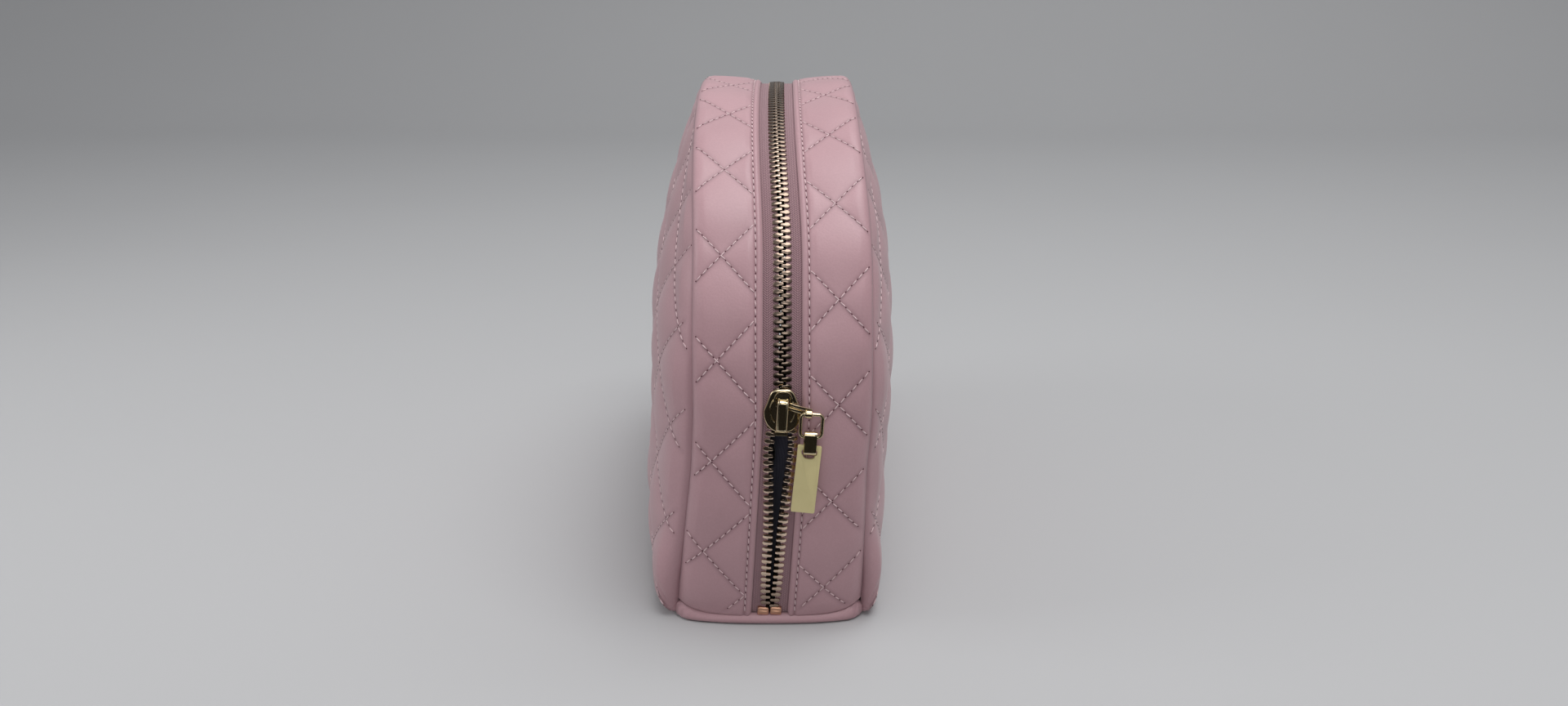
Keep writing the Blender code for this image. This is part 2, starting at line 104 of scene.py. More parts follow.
@dataclass
class Form:
    """The bag's outer surfaces, as functions of flat coordinates.

    A gusset point has s, its distance along the zip line from the foot of the slider's end, and
    across, its distance from the zip's middle. A panel point has its x and z.
    """

    half_length: float = 125.0
    height: float = 182.0
    widest: float = 65.0
    end_radius: float = 300.0
    dome_powers: tuple[float, float] = (1.9, 2.6)
    seam_z: float = 3.2
    half_width_low: float = 33.5
    half_width_high: float = 30.0
    lean_most: float = 5.0
    lean_top: float = 2.5
    crown_low: float = 4.8
    crown_high: float = -2.0
    crown_power: float = 2.6
    bulges: tuple[float, float] = (20.5, 11.5)
    corner_rolls: tuple[float, float] = (3.9, 3.9)
    seam_depth: float = 2.2
    seam_roll: float = 5.0
    corner_x: float = 113.5
    lift: float = 3.6
    tuck: float = 2.3
    line: Array = field(init=False, repr=False)
    s: Array = field(init=False, repr=False)

    def __post_init__(self) -> None:
        """Works out the zip line and the seam once."""
        start = math.asin((self.widest - self.seam_z) / self.end_radius)
        low = np.linspace(start, 0.0, 60, endpoint=False)
        low_x = self.half_length - self.end_radius * (1 - np.cos(low))
        low_z = self.widest - self.end_radius * np.sin(low)
        turn = np.linspace(0.0, math.pi / 2, 500)
        dome_x = self.half_length * np.cos(turn) ** (2 / self.dome_powers[0])
        dome_z = self.widest + (self.height - self.widest) * np.sin(turn) ** (2 / self.dome_powers[1])
        half = np.column_stack([np.append(low_x, dome_x), np.append(low_z, dome_z)])
        self.line = np.vstack([half, (half * (-1, 1))[-2::-1]])
        self.s = self.lengths(self.line)
        tangent = np.gradient(self.line, self.s, axis=0)
        tangent /= np.linalg.norm(tangent, axis=1)[:, None]
        self.normal = np.column_stack([tangent[:, 1], -tangent[:, 0]])
        self.seam = self.seam_outline(self.seam_depth)
        self.seam[[0, -1], 1] = self.seam_z
        self.seam_s = self.lengths(self.seam)

    @staticmethod
    def lengths(line: Array) -> Array:
        """Distance along a polyline at each of its points."""
        return np.concatenate([[0.0], np.cumsum(np.hypot(*np.diff(line, axis=0).T))])

    @property
    def length(self) -> float:
        """The zip line's length."""
        return float(self.s[-1])

    def at(self, s: Array) -> tuple[Array, Array, Array, Array]:
        """The zip line's x, z and outward normal at distances along it."""
        sources = (self.line[:, 0], self.line[:, 1], self.normal[:, 0], self.normal[:, 1])
        x, z, nx, nz = (np.interp(s, self.s, source) for source in sources)
        scale = np.hypot(nx, nz)
        return x, z, nx / scale, nz / scale

    def s_at(self, z: float) -> float:
        """Distance along the zip line to a height on the slider's end."""
        half = len(self.line) // 2 + 1
        return float(np.interp(z, self.line[:half, 1], self.s[:half]))

    def lean(self, z: Array) -> Array:
        """How far the middle stands towards the back at a height."""
        eased = (self.lean_most - self.lean_top) * smooth_step((z - 130.0) / (self.height - 130.0))
        return self.lean_most * np.clip(z / 80.0, None, 1.0) - eased

    def half_width(self, z: Array) -> Array:
        """Half the gusset's width at a height."""
        share = np.clip(z / 60.0, 0.0, 1.0)
        return self.half_width_low - (self.half_width_low - self.half_width_high) * share

    def crown(self, z: Array) -> Array:
        """How far the gusset's seams lie behind its middle at a height."""
        return self.crown_low + (self.crown_high - self.crown_low) * smooth_step(z / self.height)

    def gusset(self, s: Array, across: Array, depth: Array | float = 0.0) -> Array:
        """Points of the gusset.

        Args:
            s: distance along the zip line.
            across: distance from the zip's middle, minus towards the front.
            depth: distance under the outer surface.

        Returns:
            One point a row.
        """
        x, z, nx, nz = self.at(s)
        share = np.abs(across) / self.half_width(z)
        inward = self.crown(z) * share**self.crown_power + depth
        low = np.maximum(z - nz * inward, self.seam_z)
        out = x - nx * inward
        return np.column_stack([out, self.lean(z) + across, low + self.corner_lift(out, across, low)])

    def corner_lift(self, x: Array, y: Array, z: Array | float = 3.2) -> Array:
        """How far the seams round the bottom rise towards its corners."""
        gap = np.hypot(np.clip(self.corner_x - np.abs(x), 0.0, None), np.clip(33.5 - np.abs(y), 0.0, None))
        return self.lift * np.exp(-((gap / 5.0) ** 1.5)) * np.clip(1 - (z - self.seam_z) / 22.0, 0, 1) ** 2

    def seam_outline(self, inset: float) -> Array:
        """The seam between gusset and panel in the XZ plane, drawn in by an inset."""
        s = np.linspace(0.0, self.length, 481)
        x, z, nx, nz = self.at(s)
        inward = self.crown(z) + inset
        return np.column_stack([x - nx * inward, np.maximum(z - nz * inward, self.seam_z)])

    def seam_point(self, s: Array) -> Array:
        """The inset seam's points at distances along it."""
        return np.column_stack([np.interp(s, self.seam_s, self.seam[:, k]) for k in (0, 1)])

    def panel_plan(self, u: Array, v: Array) -> Flat:
        """A Coons patch that fills the seam, from -X to +X and from the base to the top."""
        total, side = float(self.seam_s[-1]), 75.0
        u1, v1 = u[:, None], v[:, None]
        top = self.seam_point(total - side - u * (total - 2 * side))
        first, last = self.seam[0], self.seam[-1]
        base = last * (1 - u1) + first * u1
        left, right = self.seam_point(total - v * side), self.seam_point(v * side)
        high = self.seam_point(np.array([total - side, side]))
        corners = last * (1 - u1) * (1 - v1) + first * u1 * (1 - v1)
        corners = corners + high[0] * (1 - u1) * v1 + high[1] * u1 * v1
        plan = base * (1 - v1) + top * v1 + left * (1 - u1) + right * u1 - corners
        return plan[:, 0], plan[:, 1]

    def seam_distance(self, x: Array, z: Array) -> Array:
        """Distance to the arc of the seam from points in its plane."""
        start, end = self.seam[:-1], self.seam[1:]
        along = end - start
        squared = np.maximum((along**2).sum(1), 1e-9)
        best = np.full(len(x), np.inf)
        points = np.column_stack([x, z])
        for a, d, dd in zip(start, along, squared):
            offset = points - a
            t = np.clip(offset @ d / dd, 0.0, 1.0)
            gap = offset - t[:, None] * d
            best = np.minimum(best, (gap**2).sum(1))
        return np.sqrt(best)

    def within(self, x: Array, z: Array) -> Array:
        """Which points lie inside the panel's outline."""
        half = len(self.seam) // 2 + 1
        reach = np.interp(z, self.seam[:half, 1], self.seam[:half, 0])
        return (np.abs(x) < reach) & (z > self.seam_z) & (z < self.seam[:, 1].max())

    def puff(self, x: Array, z: Array) -> Array:
        """0 at the panel's edge and 1 at its middle, fullest low down."""

        def rise(t: Array, power: float, steepness: Array | float) -> Array:
            """A curve that rises from 0 to 1, steeply at first."""
            return (1 - (1 - np.clip(t, 0.0, 1.0)) ** power) ** steepness

        steepness = 0.52 + 0.62 * smooth_step((z - 80.0) / 100.0)
        arc = rise(self.seam_distance(x, z) / 88.0, 2.1, steepness)
        return arc * rise((z - self.seam_z) / 62.0, 3.2, 0.36)

    def panel(self, x: Array, z: Array, side: Side, depth: float = 0.0) -> Array:
        """Points of a panel.

        Args:
            x: distance along the bag.
            z: height.
            side: the half of the bag.
            depth: distance under the outer surface, which eases to nothing at the seam.

        Returns:
            One point a row.
        """
        front = side is Side.FRONT
        edge = np.clip(np.minimum(self.seam_distance(x, z) / 6.0, (z - self.seam_z) / 4.5), 0, 1)
        corner = np.hypot(self.corner_x - np.abs(x), z - self.seam_z)
        roll = (self.corner_rolls[0] if front else self.corner_rolls[1]) * np.exp(-((corner / 26.0) ** 2))
        bulge = (self.bulges[0] if front else self.bulges[1]) * self.puff(x, z)
        round_off = np.sqrt(1 - (1 - edge) ** 2)
        bulge = bulge + roll * round_off
        x = x + np.sign(x) * 1.35 * roll * round_off
        out = self.half_width(z) - 0.35 + bulge - depth * bulge / (bulge + 1.0)
        low = z - self.tuck * np.clip(1 - (z - self.seam_z) / 12.0, 0, 1) ** 2
        return np.column_stack([x, self.lean(z) + side.value * out, low])


# ---- meshes ----
def new_object(name: str, mesh: bpy.types.Mesh, *finishes: bpy.types.Material) -> bpy.types.Object:
    """Links an object that holds a mesh in metres, and gives it its materials."""
    for finish in finishes:
        mesh.materials.append(finish)
    made = bpy.data.objects.new(name, mesh)
    bpy.context.scene.collection.objects.link(made)
    return made


def bake_modifiers(piece: bpy.types.Object) -> None:
    """Applies a piece's modifiers to its mesh."""
    graph = bpy.context.evaluated_depsgraph_get()
    mesh = bpy.data.meshes.new_from_object(piece.evaluated_get(graph), depsgraph=graph)
    piece.modifiers.clear()
    piece.data = mesh


def coordinates(mesh: bpy.types.Mesh) -> Array:
    """A mesh's points, one a row."""
    flat = np.zeros(len(mesh.vertices) * 3)
    mesh.vertices.foreach_get("co", flat)
    return flat.reshape(-1, 3)


def set_coordinates(mesh: bpy.types.Mesh, points: Array) -> None:
    """Moves a mesh's points."""
    mesh.vertices.foreach_set("co", points.ravel())
    mesh.update()


def normals(mesh: bpy.types.Mesh) -> Array:
    """A mesh's point normals, one a row."""
    flat = np.zeros(len(mesh.vertices) * 3)
    mesh.vertices.foreach_get("normal", flat)
    return flat.reshape(-1, 3)


def put_attribute(mesh: bpy.types.Mesh, name: str, values: Array) -> None:
    """Stores one number for each point of a mesh."""
    made = mesh.attributes.get(name) or mesh.attributes.new(name, "FLOAT", "POINT")
    made.data.foreach_set("value", np.asarray(values, np.float32))


def get_attribute(mesh: bpy.types.Mesh, name: str) -> Array:
    """Reads back one number for each point of a mesh."""
    values = np.zeros(len(mesh.vertices))
    mesh.attributes[name].data.foreach_get("value", values)
    return values


def sheet_mesh(
    name: str,
    cells: tuple[int, int],
    flat: Callable[[Array, Array], Flat],
    place: Callable[[Array, Array], Array],
    outward: Callable[[Array], Array],
) -> bpy.types.Mesh:
    """An open sheet over a grid, with its flat coordinates kept as attributes.

    Args:
        name: the mesh's name.
        cells: faces across and along.
        flat: turns the grid's u and v, from 0 to 1, into flat coordinates.
        place: turns flat coordinates into points in millimetres.
        outward: a direction that the faces should look along, for each point.

    Returns:
        The mesh, in metres.
    """
    shape = bmesh.new()
    bmesh.ops.create_grid(shape, x_segments=cells[0], y_segments=cells[1], size=1.0)
    mesh = bpy.data.meshes.new(name)
    shape.to_mesh(mesh)
    shape.free()
    grid = (coordinates(mesh)[:, :2] + 1) / 2
    first, second = flat(grid[:, 0], grid[:, 1])
    points = place(first, second)
    set_coordinates(mesh, points * MM)
    put_attribute(mesh, "flat_a", first)
    put_attribute(mesh, "flat_b", second)
    if (normals(mesh) * outward(points)).sum() < 0:
        mesh.flip_normals()
    mesh.shade_smooth()
    return mesh


def prism(outline: Sequence[tuple[float, float]], low: float, high: float) -> bmesh.types.BMesh:
    """A flat outline pulled up between two heights, in millimetres."""
    shape = bmesh.new()
    face = shape.faces.new([shape.verts.new((*point, low)) for point in outline])
    pulled = bmesh.ops.extrude_face_region(shape, geom=[face])
    moved = [item for item in pulled["geom"] if isinstance(item, bmesh.types.BMVert)]
    bmesh.ops.translate(shape, verts=moved, vec=(0, 0, high - low))
    bmesh.ops.recalc_face_normals(shape, faces=shape.faces)
    if shape.calc_volume(signed=True) < 0:
        bmesh.ops.reverse_faces(shape, faces=shape.faces)
    return shape


def round_edges(shape: bmesh.types.BMesh, width: float, segments: int = 2, least: float = 35.0) -> None:
    """Bevels the edges that turn by more than an angle in degrees."""
    sharp = [e for e in shape.edges if e.is_manifold and e.calc_face_angle(0.0) > math.radians(least)]
    bmesh.ops.bevel(
        shape,
        geom=sharp,
        offset=width,
        offset_type="OFFSET",
        affect="EDGES",
        segments=segments,
        profile=0.5,
        material=-1,
        clamp_overlap=True,
    )


def as_mesh(name: str, shape: bmesh.types.BMesh, matrix: Matrix | None = None) -> bpy.types.Mesh:
    """Turns a closed bmesh in millimetres into a mesh, in metres unless a matrix is given."""
    shape.transform(Matrix.Scale(MM, 4) if matrix is None else matrix)
    bmesh.ops.recalc_face_normals(shape, faces=shape.faces)
    if shape.calc_volume(signed=True) < 0:
        bmesh.ops.reverse_faces(shape, faces=shape.faces)
    mesh = bpy.data.meshes.new(name)
    shape.to_mesh(mesh)
    shape.free()
    mesh.shade_smooth()
    mesh.set_sharp_from_angle(angle=math.radians(40))
    return mesh


def frame_matrix(origin: Array, x_axis: Array, y_axis: Array, z_axis: Array) -> Matrix:
    """A matrix from three axes, which may be scaled, and an origin, in millimetres to metres."""
    rows = np.column_stack([x_axis, y_axis, z_axis, origin]) * MM
    return Matrix([*rows.tolist(), [0.0, 0.0, 0.0, 1.0]])


class Stamp:
    """Copies small closed shapes into one mesh, each in its own place."""

    def __init__(self) -> None:
        """Starts with nothing stamped."""
        self.shape = bmesh.new()

    def press(self, template: bpy.types.Mesh, matrix: Matrix) -> None:
        """Adds one copy of a template."""
        copy = template.copy()
        copy.transform(matrix)
        self.shape.from_mesh(copy)
        bpy.data.meshes.remove(copy)

    def mesh(self, name: str) -> bpy.types.Mesh:
        """Everything stamped, as one mesh."""
        made = bpy.data.meshes.new(name)
        self.shape.to_mesh(made)
        self.shape.free()
        return made


# ---- shader groups ----
Socket = tuple[str, str, float | tuple[float, ...] | None]


class NodeBook:
    """Adds nodes to a tree and joins them, with short calls."""

    def __init__(self, tree: bpy.types.NodeTree) -> None:
        """Keeps the tree that the nodes go in."""
        self.tree = tree

    def add(
        self, kind: str, inputs: dict[str | int, object] | None = None, **settings: object
    ) -> bpy.types.Node:
        """Adds a node.

        Args:
            kind: the node's type, without its ShaderNode prefix.
            inputs: values, or sockets of other nodes, by input name or number.
            settings: properties of the node itself.

        Returns:
            The new node.
        """
        node = self.tree.nodes.new("ShaderNode" + kind)
        for name, value in settings.items():
            setattr(node, name, value)
        for key, value in (inputs or {}).items():
            self.feed(node.inputs[key], value)
        return node

    def feed(self, socket: bpy.types.NodeSocket, value: object) -> None:
        """Links a socket to another one, or sets its value."""
        if isinstance(value, bpy.types.NodeSocket):
            self.tree.links.new(value, socket)
        elif isinstance(value, tuple) and socket.type == "RGBA" and len(value) == 3:
            socket.default_value = (*value, 1.0)
        else:
            socket.default_value = value

    def math(self, operation: str, *values: object) -> bpy.types.NodeSocket:
        """A Math node's result."""
        return self.add("Math", dict(enumerate(values)), operation=operation).outputs[0]

    def mix(self, share: object, first: object, second: object, blend: str = "MIX") -> bpy.types.NodeSocket:
        """A colour between two others."""
        node = self.add("Mix", data_type="RGBA", blend_type=blend)
        self.feed(node.inputs["Factor"], share)
        colours = [socket for socket in node.inputs if socket.type == "RGBA"]
        self.feed(colours[0], first)
        self.feed(colours[1], second)
        return next(socket for socket in node.outputs if socket.type == "RGBA")

    def between(self, value: object, low: float, high: float) -> bpy.types.NodeSocket:
        """A value from 0 to 1 spread between two limits."""
        return self.add("MapRange", {"Value": value, "To Min": low, "To Max": high}).outputs["Result"]


def shader_group(name: str, takes: Sequence[Socket], gives: Sequence[Socket]) -> bpy.types.NodeTree:
    """A new shader group with its sockets, an input node and an output node."""
    tree = bpy.data.node_groups.new(name, "ShaderNodeTree")
    for direction, sockets in (("INPUT", takes), ("OUTPUT", gives)):
        for socket_name, kind, default in sockets:
            made = tree.interface.new_socket(socket_name, in_out=direction, socket_type=kind)
            if default is not None:
                made.default_value = default
    tree.nodes.new("NodeGroupInput")
    tree.nodes.new("NodeGroupOutput")
    return tree


def group_ends(tree: bpy.types.NodeTree) -> tuple[bpy.types.Node, bpy.types.Node]:
    """A group's input and output nodes."""
    kinds = {node.bl_idname: node for node in tree.nodes}
    return kinds["NodeGroupInput"], kinds["NodeGroupOutput"]


def build_grain_group() -> bpy.types.NodeTree:
    """Fine pebbled grain, as on embossed leather."""
    takes = [("Vector", "NodeSocketVector", None), ("Size", "NodeSocketFloat", 1600.0)]
    gives = [("Height", "NodeSocketFloat", None), ("Tone", "NodeSocketFloat", None)]
    tree = shader_group("pebble_grain", takes, gives)
    book, (source, sink) = NodeBook(tree), group_ends(tree)
    place, size = source.outputs["Vector"], source.outputs["Size"]
    warp = book.add("TexNoise", {"Vector": place, "Scale": 900.0, "Detail": 2.0})
    bent = book.add("VectorMath", {0: warp.outputs["Color"]}, operation="SCALE")
    bent.inputs["Scale"].default_value = 0.0005
    moved = book.add("VectorMath", {0: place, 1: bent.outputs[0]}, operation="ADD").outputs[0]
    cells = book.add("TexVoronoi", {"Vector": moved, "Scale": size}, feature="SMOOTH_F1")
    fine = book.add("TexNoise", {"Vector": place, "Scale": 5200.0, "Detail": 3.0})
    pebble = book.math("SUBTRACT", 1.0, cells.outputs["Distance"])
    coarse = book.math("MULTIPLY", pebble, 0.75)
    both = book.math("ADD", coarse, book.math("MULTIPLY", fine.outputs["Fac"], 0.35))
    book.feed(sink.inputs["Height"], both)
    patches = book.add("TexNoise", {"Vector": place, "Scale": 34.0, "Detail": 4.0, "Roughness": 0.6})
    book.feed(sink.inputs["Tone"], patches.outputs["Fac"])
    return tree


def build_weave_group() -> bpy.types.NodeTree:
    """Herringbone weave on flat coordinates in millimetres."""
    takes = [
        ("Across", "NodeSocketFloat", 0.0),
        ("Along", "NodeSocketFloat", 0.0),
        ("Chevron", "NodeSocketFloat", 2.4),
        ("Yarn", "NodeSocketFloat", 0.55),
    ]
    gives = [("Height", "NodeSocketFloat", None), ("Valley", "NodeSocketFloat", None)]
    tree = shader_group("herringbone_weave", takes, gives)
    book, (source, sink) = NodeBook(tree), group_ends(tree)
    across, along, chevron, yarn = (source.outputs[k] for k in ("Across", "Along", "Chevron", "Yarn"))
    fold = book.math("PINGPONG", across, chevron)
    slanted = book.math("ADD", along, book.math("MULTIPLY", fold, 0.8))
    ridge = book.math("SINE", book.math("MULTIPLY", book.math("DIVIDE", slanted, yarn), math.tau))
    cross = book.math("SINE", book.math("MULTIPLY", book.math("DIVIDE", across, yarn), math.tau))
    height = book.math("ADD", book.math("MULTIPLY", ridge, 0.35), book.math("MULTIPLY", cross, 0.15))
    lifted = book.math("ADD", height, 0.5)
    book.feed(sink.inputs["Height"], lifted)
    # the Valley output marks the weave's low places, where the tape paints shade
    book.feed(sink.inputs["Valley"], book.math("SUBTRACT", 1.0, book.math("MAXIMUM", lifted, 0.0)))
    return tree


def build_scratch_group() -> bpy.types.NodeTree:
    """Fine directional scratches and handling marks on metal."""
    takes = [("Vector", "NodeSocketVector", None), ("Density", "NodeSocketFloat", 900.0)]
    gives = [("Height", "NodeSocketFloat", None), ("Smudge", "NodeSocketFloat", None)]
    tree = shader_group("metal_scratches", takes, gives)
    book, (source, sink) = NodeBook(tree), group_ends(tree)
    place, density = source.outputs["Vector"], source.outputs["Density"]
    stretched = book.add("Mapping", {"Vector": place, "Scale": (1.0, 4.0, 0.15)}).outputs[0]
    lines = book.add("TexNoise", {"Vector": stretched, "Scale": density, "Detail": 3.0})
    smudge = book.add("TexNoise", {"Vector": place, "Scale": 260.0, "Detail": 4.0, "Roughness": 0.65})
    book.feed(sink.inputs["Height"], lines.outputs["Fac"])
    book.feed(sink.inputs["Smudge"], smudge.outputs["Fac"])
    return tree


class Groups:
    """The shader groups that several finishes share, each built once."""

    built: dict[str, bpy.types.NodeTree] = {}
    makers: dict[str, Callable[[], bpy.types.NodeTree]] = {
        "grain": build_grain_group,
        "weave": build_weave_group,
        "scratches": build_scratch_group,
    }

    @classmethod
    def place(cls, book: NodeBook, name: str, inputs: dict[str, object]) -> bpy.types.Node:
        """Puts a shared group in a material with its own values."""
        if name not in cls.built:
            cls.built[name] = cls.makers[name]()
        node = book.tree.nodes.new("ShaderNodeGroup")
        node.node_tree = cls.built[name]
        for key, value in inputs.items():
            book.feed(node.inputs[key], value)
        return node


def start_material(
    name: str, shader_values: dict[str, object]
) -> tuple[bpy.types.Material, NodeBook, bpy.types.Node]:
    """A node material with constants set on its shader."""
    made = bpy.data.materials.new(name)
    made.use_nodes = True
    shader = made.node_tree.nodes["Principled BSDF"]
    book = NodeBook(made.node_tree)
    for key, value in shader_values.items():
        book.feed(shader.inputs[key], value)
    return made, book, shader


def add_bump(
    book: NodeBook, shader: bpy.types.Node, height: object, strength: float, distance: float
) -> None:
    """Feeds a height to the shader's normal."""
    bump = book.add("Bump", {"Height": height, "Strength": strength, "Distance": distance})
    book.feed(shader.inputs["Normal"], bump.outputs["Normal"])


# ---- finishes ----
@dataclass(frozen=True)
class Leather:
    """Smooth coated leather with a fine grain, with painted shade where a stitch pulls it in, along the seams
    and in the corner tucks.
    """

    name: str = "pink_leather"
    colour: Triple = (0.46, 0.276, 0.300)
    # the pores' darker colour, and also the colour of the painted shade in creases
    deep: Triple = (0.24, 0.125, 0.145)
    roughness: tuple[float, float] = (0.40, 0.54)

    def material(self) -> bpy.types.Material:
        """Builds the material."""
        sheen = {"Sheen Weight": 0.12, "Sheen Roughness": 0.5, "Specular IOR Level": 0.42}
        coat = {"Coat Weight": 0.05, "Coat Roughness": 0.35}
        made, book, shader = start_material(self.name, {**sheen, **coat})
        place = book.add("TexCoord").outputs["Object"]
        grain = Groups.place(book, "grain", {"Vector": place, "Size": 1500.0})
        crease = book.add("Attribute", attribute_name="crease").outputs["Fac"]
        lighter = tuple(min(1.0, c * 1.10) for c in self.colour)
        tone = book.mix(book.between(grain.outputs["Tone"], -0.4, 1.4), self.colour, lighter)
        pores = book.mix(book.math("MULTIPLY", grain.outputs["Height"], 0.16), tone, self.deep)
        # painted shade: the crease attribute darkens the leather towards the deep colour along stitch lines,
        # seams and corner tucks
        colour = book.mix(book.math("MULTIPLY", crease, 0.55), pores, self.deep)
        book.feed(shader.inputs["Base Color"], colour)
        book.feed(shader.inputs["Roughness"], book.between(grain.outputs["Tone"], *self.roughness))
        add_bump(book, shader, grain.outputs["Height"], 0.20, 0.00025)
        return made


@dataclass(frozen=True)
class Thread:
    """Twisted sewing thread."""

    name: str = "pink_thread"
    colour: Triple = (0.79, 0.585, 0.60)

    def material(self) -> bpy.types.Material:
        """Builds the material."""
        made, book, shader = start_material(self.name, {"Sheen Weight": 0.3, "Specular IOR Level": 0.3})
        place = book.add("TexCoord").outputs["Object"]
        wave = {"Vector": place, "Scale": 900.0, "Distortion": 2.0}
        twist = book.add("TexWave", wave, bands_direction="DIAGONAL")
        # painted shade in the twist's grooves: the wave's low bands, which also set the bump, get the darker
        # colour
        dark = tuple(c * 0.72 for c in self.colour)
        book.feed(shader.inputs["Base Color"], book.mix(twist.outputs["Fac"], dark, self.colour))
        book.feed(shader.inputs["Roughness"], book.between(twist.outputs["Fac"], 0.55, 0.75))
        add_bump(book, shader, twist.outputs["Fac"], 0.3, 0.0001)
        return made


@dataclass(frozen=True)
class NeedleHole:
    """The shaded leather of a needle hole."""

    name: str = "needle_hole"
    colour: Triple = (0.075, 0.03, 0.038)

    def material(self) -> bpy.types.Material:
        """Builds the material."""
        made, book, shader = start_material(self.name, {"Specular IOR Level": 0.1})
        place = book.add("TexCoord").outputs["Object"]
        fibres = book.add("TexNoise", {"Vector": place, "Scale": 2500.0, "Detail": 2.0}).outputs["Fac"]
        lit = tuple(c * 1.8 for c in self.colour)
        book.feed(shader.inputs["Base Color"], book.mix(fibres, self.colour, lit))
        book.feed(shader.inputs["Roughness"], book.between(fibres, 0.8, 1.0))
        return made


@dataclass(frozen=True)
class TapeCloth:
    """Woven zip tape with a herringbone, on its own flat coordinates."""

    name: str = "zip_tape_cloth"
    colour: Triple = (0.40, 0.245, 0.265)
    # colour of the painted shade in the weave's valleys
    valley: Triple = (0.13, 0.065, 0.078)

    def material(self) -> bpy.types.Material:
        """Builds the material."""
        made, book, shader = start_material(self.name, {"Sheen Weight": 0.25, "Specular IOR Level": 0.25})
        across = book.add("Attribute", attribute_name="flat_b").outputs["Fac"]
        along = book.add("Attribute", attribute_name="flat_a").outputs["Fac"]
        weave = Groups.place(book, "weave", {"Across": across, "Along": along, "Chevron": 1.7, "Yarn": 0.8})
        place = book.add("TexCoord").outputs["Object"]
        fuzz = book.add("TexNoise", {"Vector": place, "Scale": 3000.0, "Detail": 3.0}).outputs["Fac"]
        # painted shade: the weave's valleys are darkened towards the valley colour
        share = book.math("MULTIPLY", weave.outputs["Valley"], book.between(fuzz, 0.6, 1.2))
        book.feed(shader.inputs["Base Color"], book.mix(share, self.colour, self.valley))
        book.feed(shader.inputs["Roughness"], book.between(fuzz, 0.75, 0.95))
        add_bump(book, shader, weave.outputs["Height"], 0.7, 0.0002)
        return made


@dataclass(frozen=True)
class LiningCloth:
    """Dark woven lining."""

    name: str = "navy_lining"
    colour: Triple = (0.05, 0.05, 0.075)
    lit: Triple = (0.13, 0.13, 0.17)

    def material(self) -> bpy.types.Material:
        """Builds the material."""
        made, book, shader = start_material(self.name, {"Sheen Weight": 0.2, "Specular IOR Level": 0.3})
        place = book.add("TexCoord").outputs["Object"]
        warp = book.add("TexWave", {"Vector": place, "Scale": 520.0, "Distortion": 0.6}, bands_direction="X")
        weft = book.add("TexWave", {"Vector": place, "Scale": 520.0, "Distortion": 0.6}, bands_direction="Z")
        cloth = book.math("MULTIPLY", warp.outputs["Fac"], weft.outputs["Fac"])
        folds = book.add("TexNoise", {"Vector": place, "Scale": 45.0, "Detail": 3.0}).outputs["Fac"]
        share = book.math("MULTIPLY", cloth, folds)
        book.feed(shader.inputs["Base Color"], book.mix(share, self.colour, self.lit))
        book.feed(shader.inputs["Roughness"], book.between(folds, 0.6, 0.85))
        add_bump(book, shader, cloth, 0.4, 0.00015)
        return made


@dataclass(frozen=True)
class Wadding:
    """Bonded white fibre."""

    name: str = "fibre_wadding"
    colour: Triple = (0.80, 0.79, 0.75)

    def material(self) -> bpy.types.Material:
        """Builds the material."""
        made, book, shader = start_material(self.name, {"Sheen Weight": 0.4, "Specular IOR Level": 0.2})
        place = book.add("TexCoord").outputs["Object"]
        noise = {"Vector": place, "Scale": 700.0, "Detail": 6.0, "Distortion": 1.5}
        fibre = book.add("TexNoise", noise).outputs["Fac"]
        shade = tuple(c * 0.7 for c in self.colour)
        book.feed(shader.inputs["Base Color"], book.mix(fibre, shade, self.colour))
        book.feed(shader.inputs["Roughness"], book.between(fibre, 0.85, 1.0))
        add_bump(book, shader, fibre, 0.8, 0.0006)
        return made


@dataclass(frozen=True)
class Card:
    """Grey stiffening board."""

    name: str = "grey_card"
    colour: Triple = (0.32, 0.30, 0.27)

    def material(self) -> bpy.types.Material:
        """Builds the material."""
        made, book, shader = start_material(self.name, {"Specular IOR Level": 0.25})
        place = book.add("TexCoord").outputs["Object"]
        fleck = book.add("TexNoise", {"Vector": place, "Scale": 1400.0, "Detail": 5.0}).outputs["Fac"]
        dark = tuple(c * 0.65 for c in self.colour)
        book.feed(shader.inputs["Base Color"], book.mix(fleck, dark, self.colour))
        book.feed(shader.inputs["Roughness"], book.between(fleck, 0.8, 0.95))
        add_bump(book, shader, fleck, 0.3, 0.0002)
        return made


@dataclass(frozen=True)
class Metal:
    """Plated metal with handling marks and fine scratches, and, where a piece asks for it, a paler painted
    highlight.
    """

    name: str
    colour: Triple
    worn: Triple
    roughness: tuple[float, float]
    scratch: float = 0.12
    metallic: float = 1.0
    # the paler colour of a painted highlight, if the piece has one
    polished: Triple | None = None

    def material(self) -> bpy.types.Material:
        """Builds the material."""
        made, book, shader = start_material(self.name, {"Metallic": self.metallic})
        place = book.add("TexCoord").outputs["Object"]
        marks = Groups.place(book, "scratches", {"Vector": place, "Density": 1400.0})
        colour = book.mix(marks.outputs["Smudge"], self.colour, self.worn)
        # painted highlight: the paler colour is mixed in by a point attribute that the teeth carry
        if self.polished:
            polish = book.add("Attribute", attribute_name="polish").outputs["Fac"]
            colour = book.mix(polish, colour, self.polished)
        book.feed(shader.inputs["Base Color"], colour)
        book.feed(shader.inputs["Roughness"], book.between(marks.outputs["Smudge"], *self.roughness))
        add_bump(book, shader, marks.outputs["Height"], self.scratch, 0.00005)
        return made


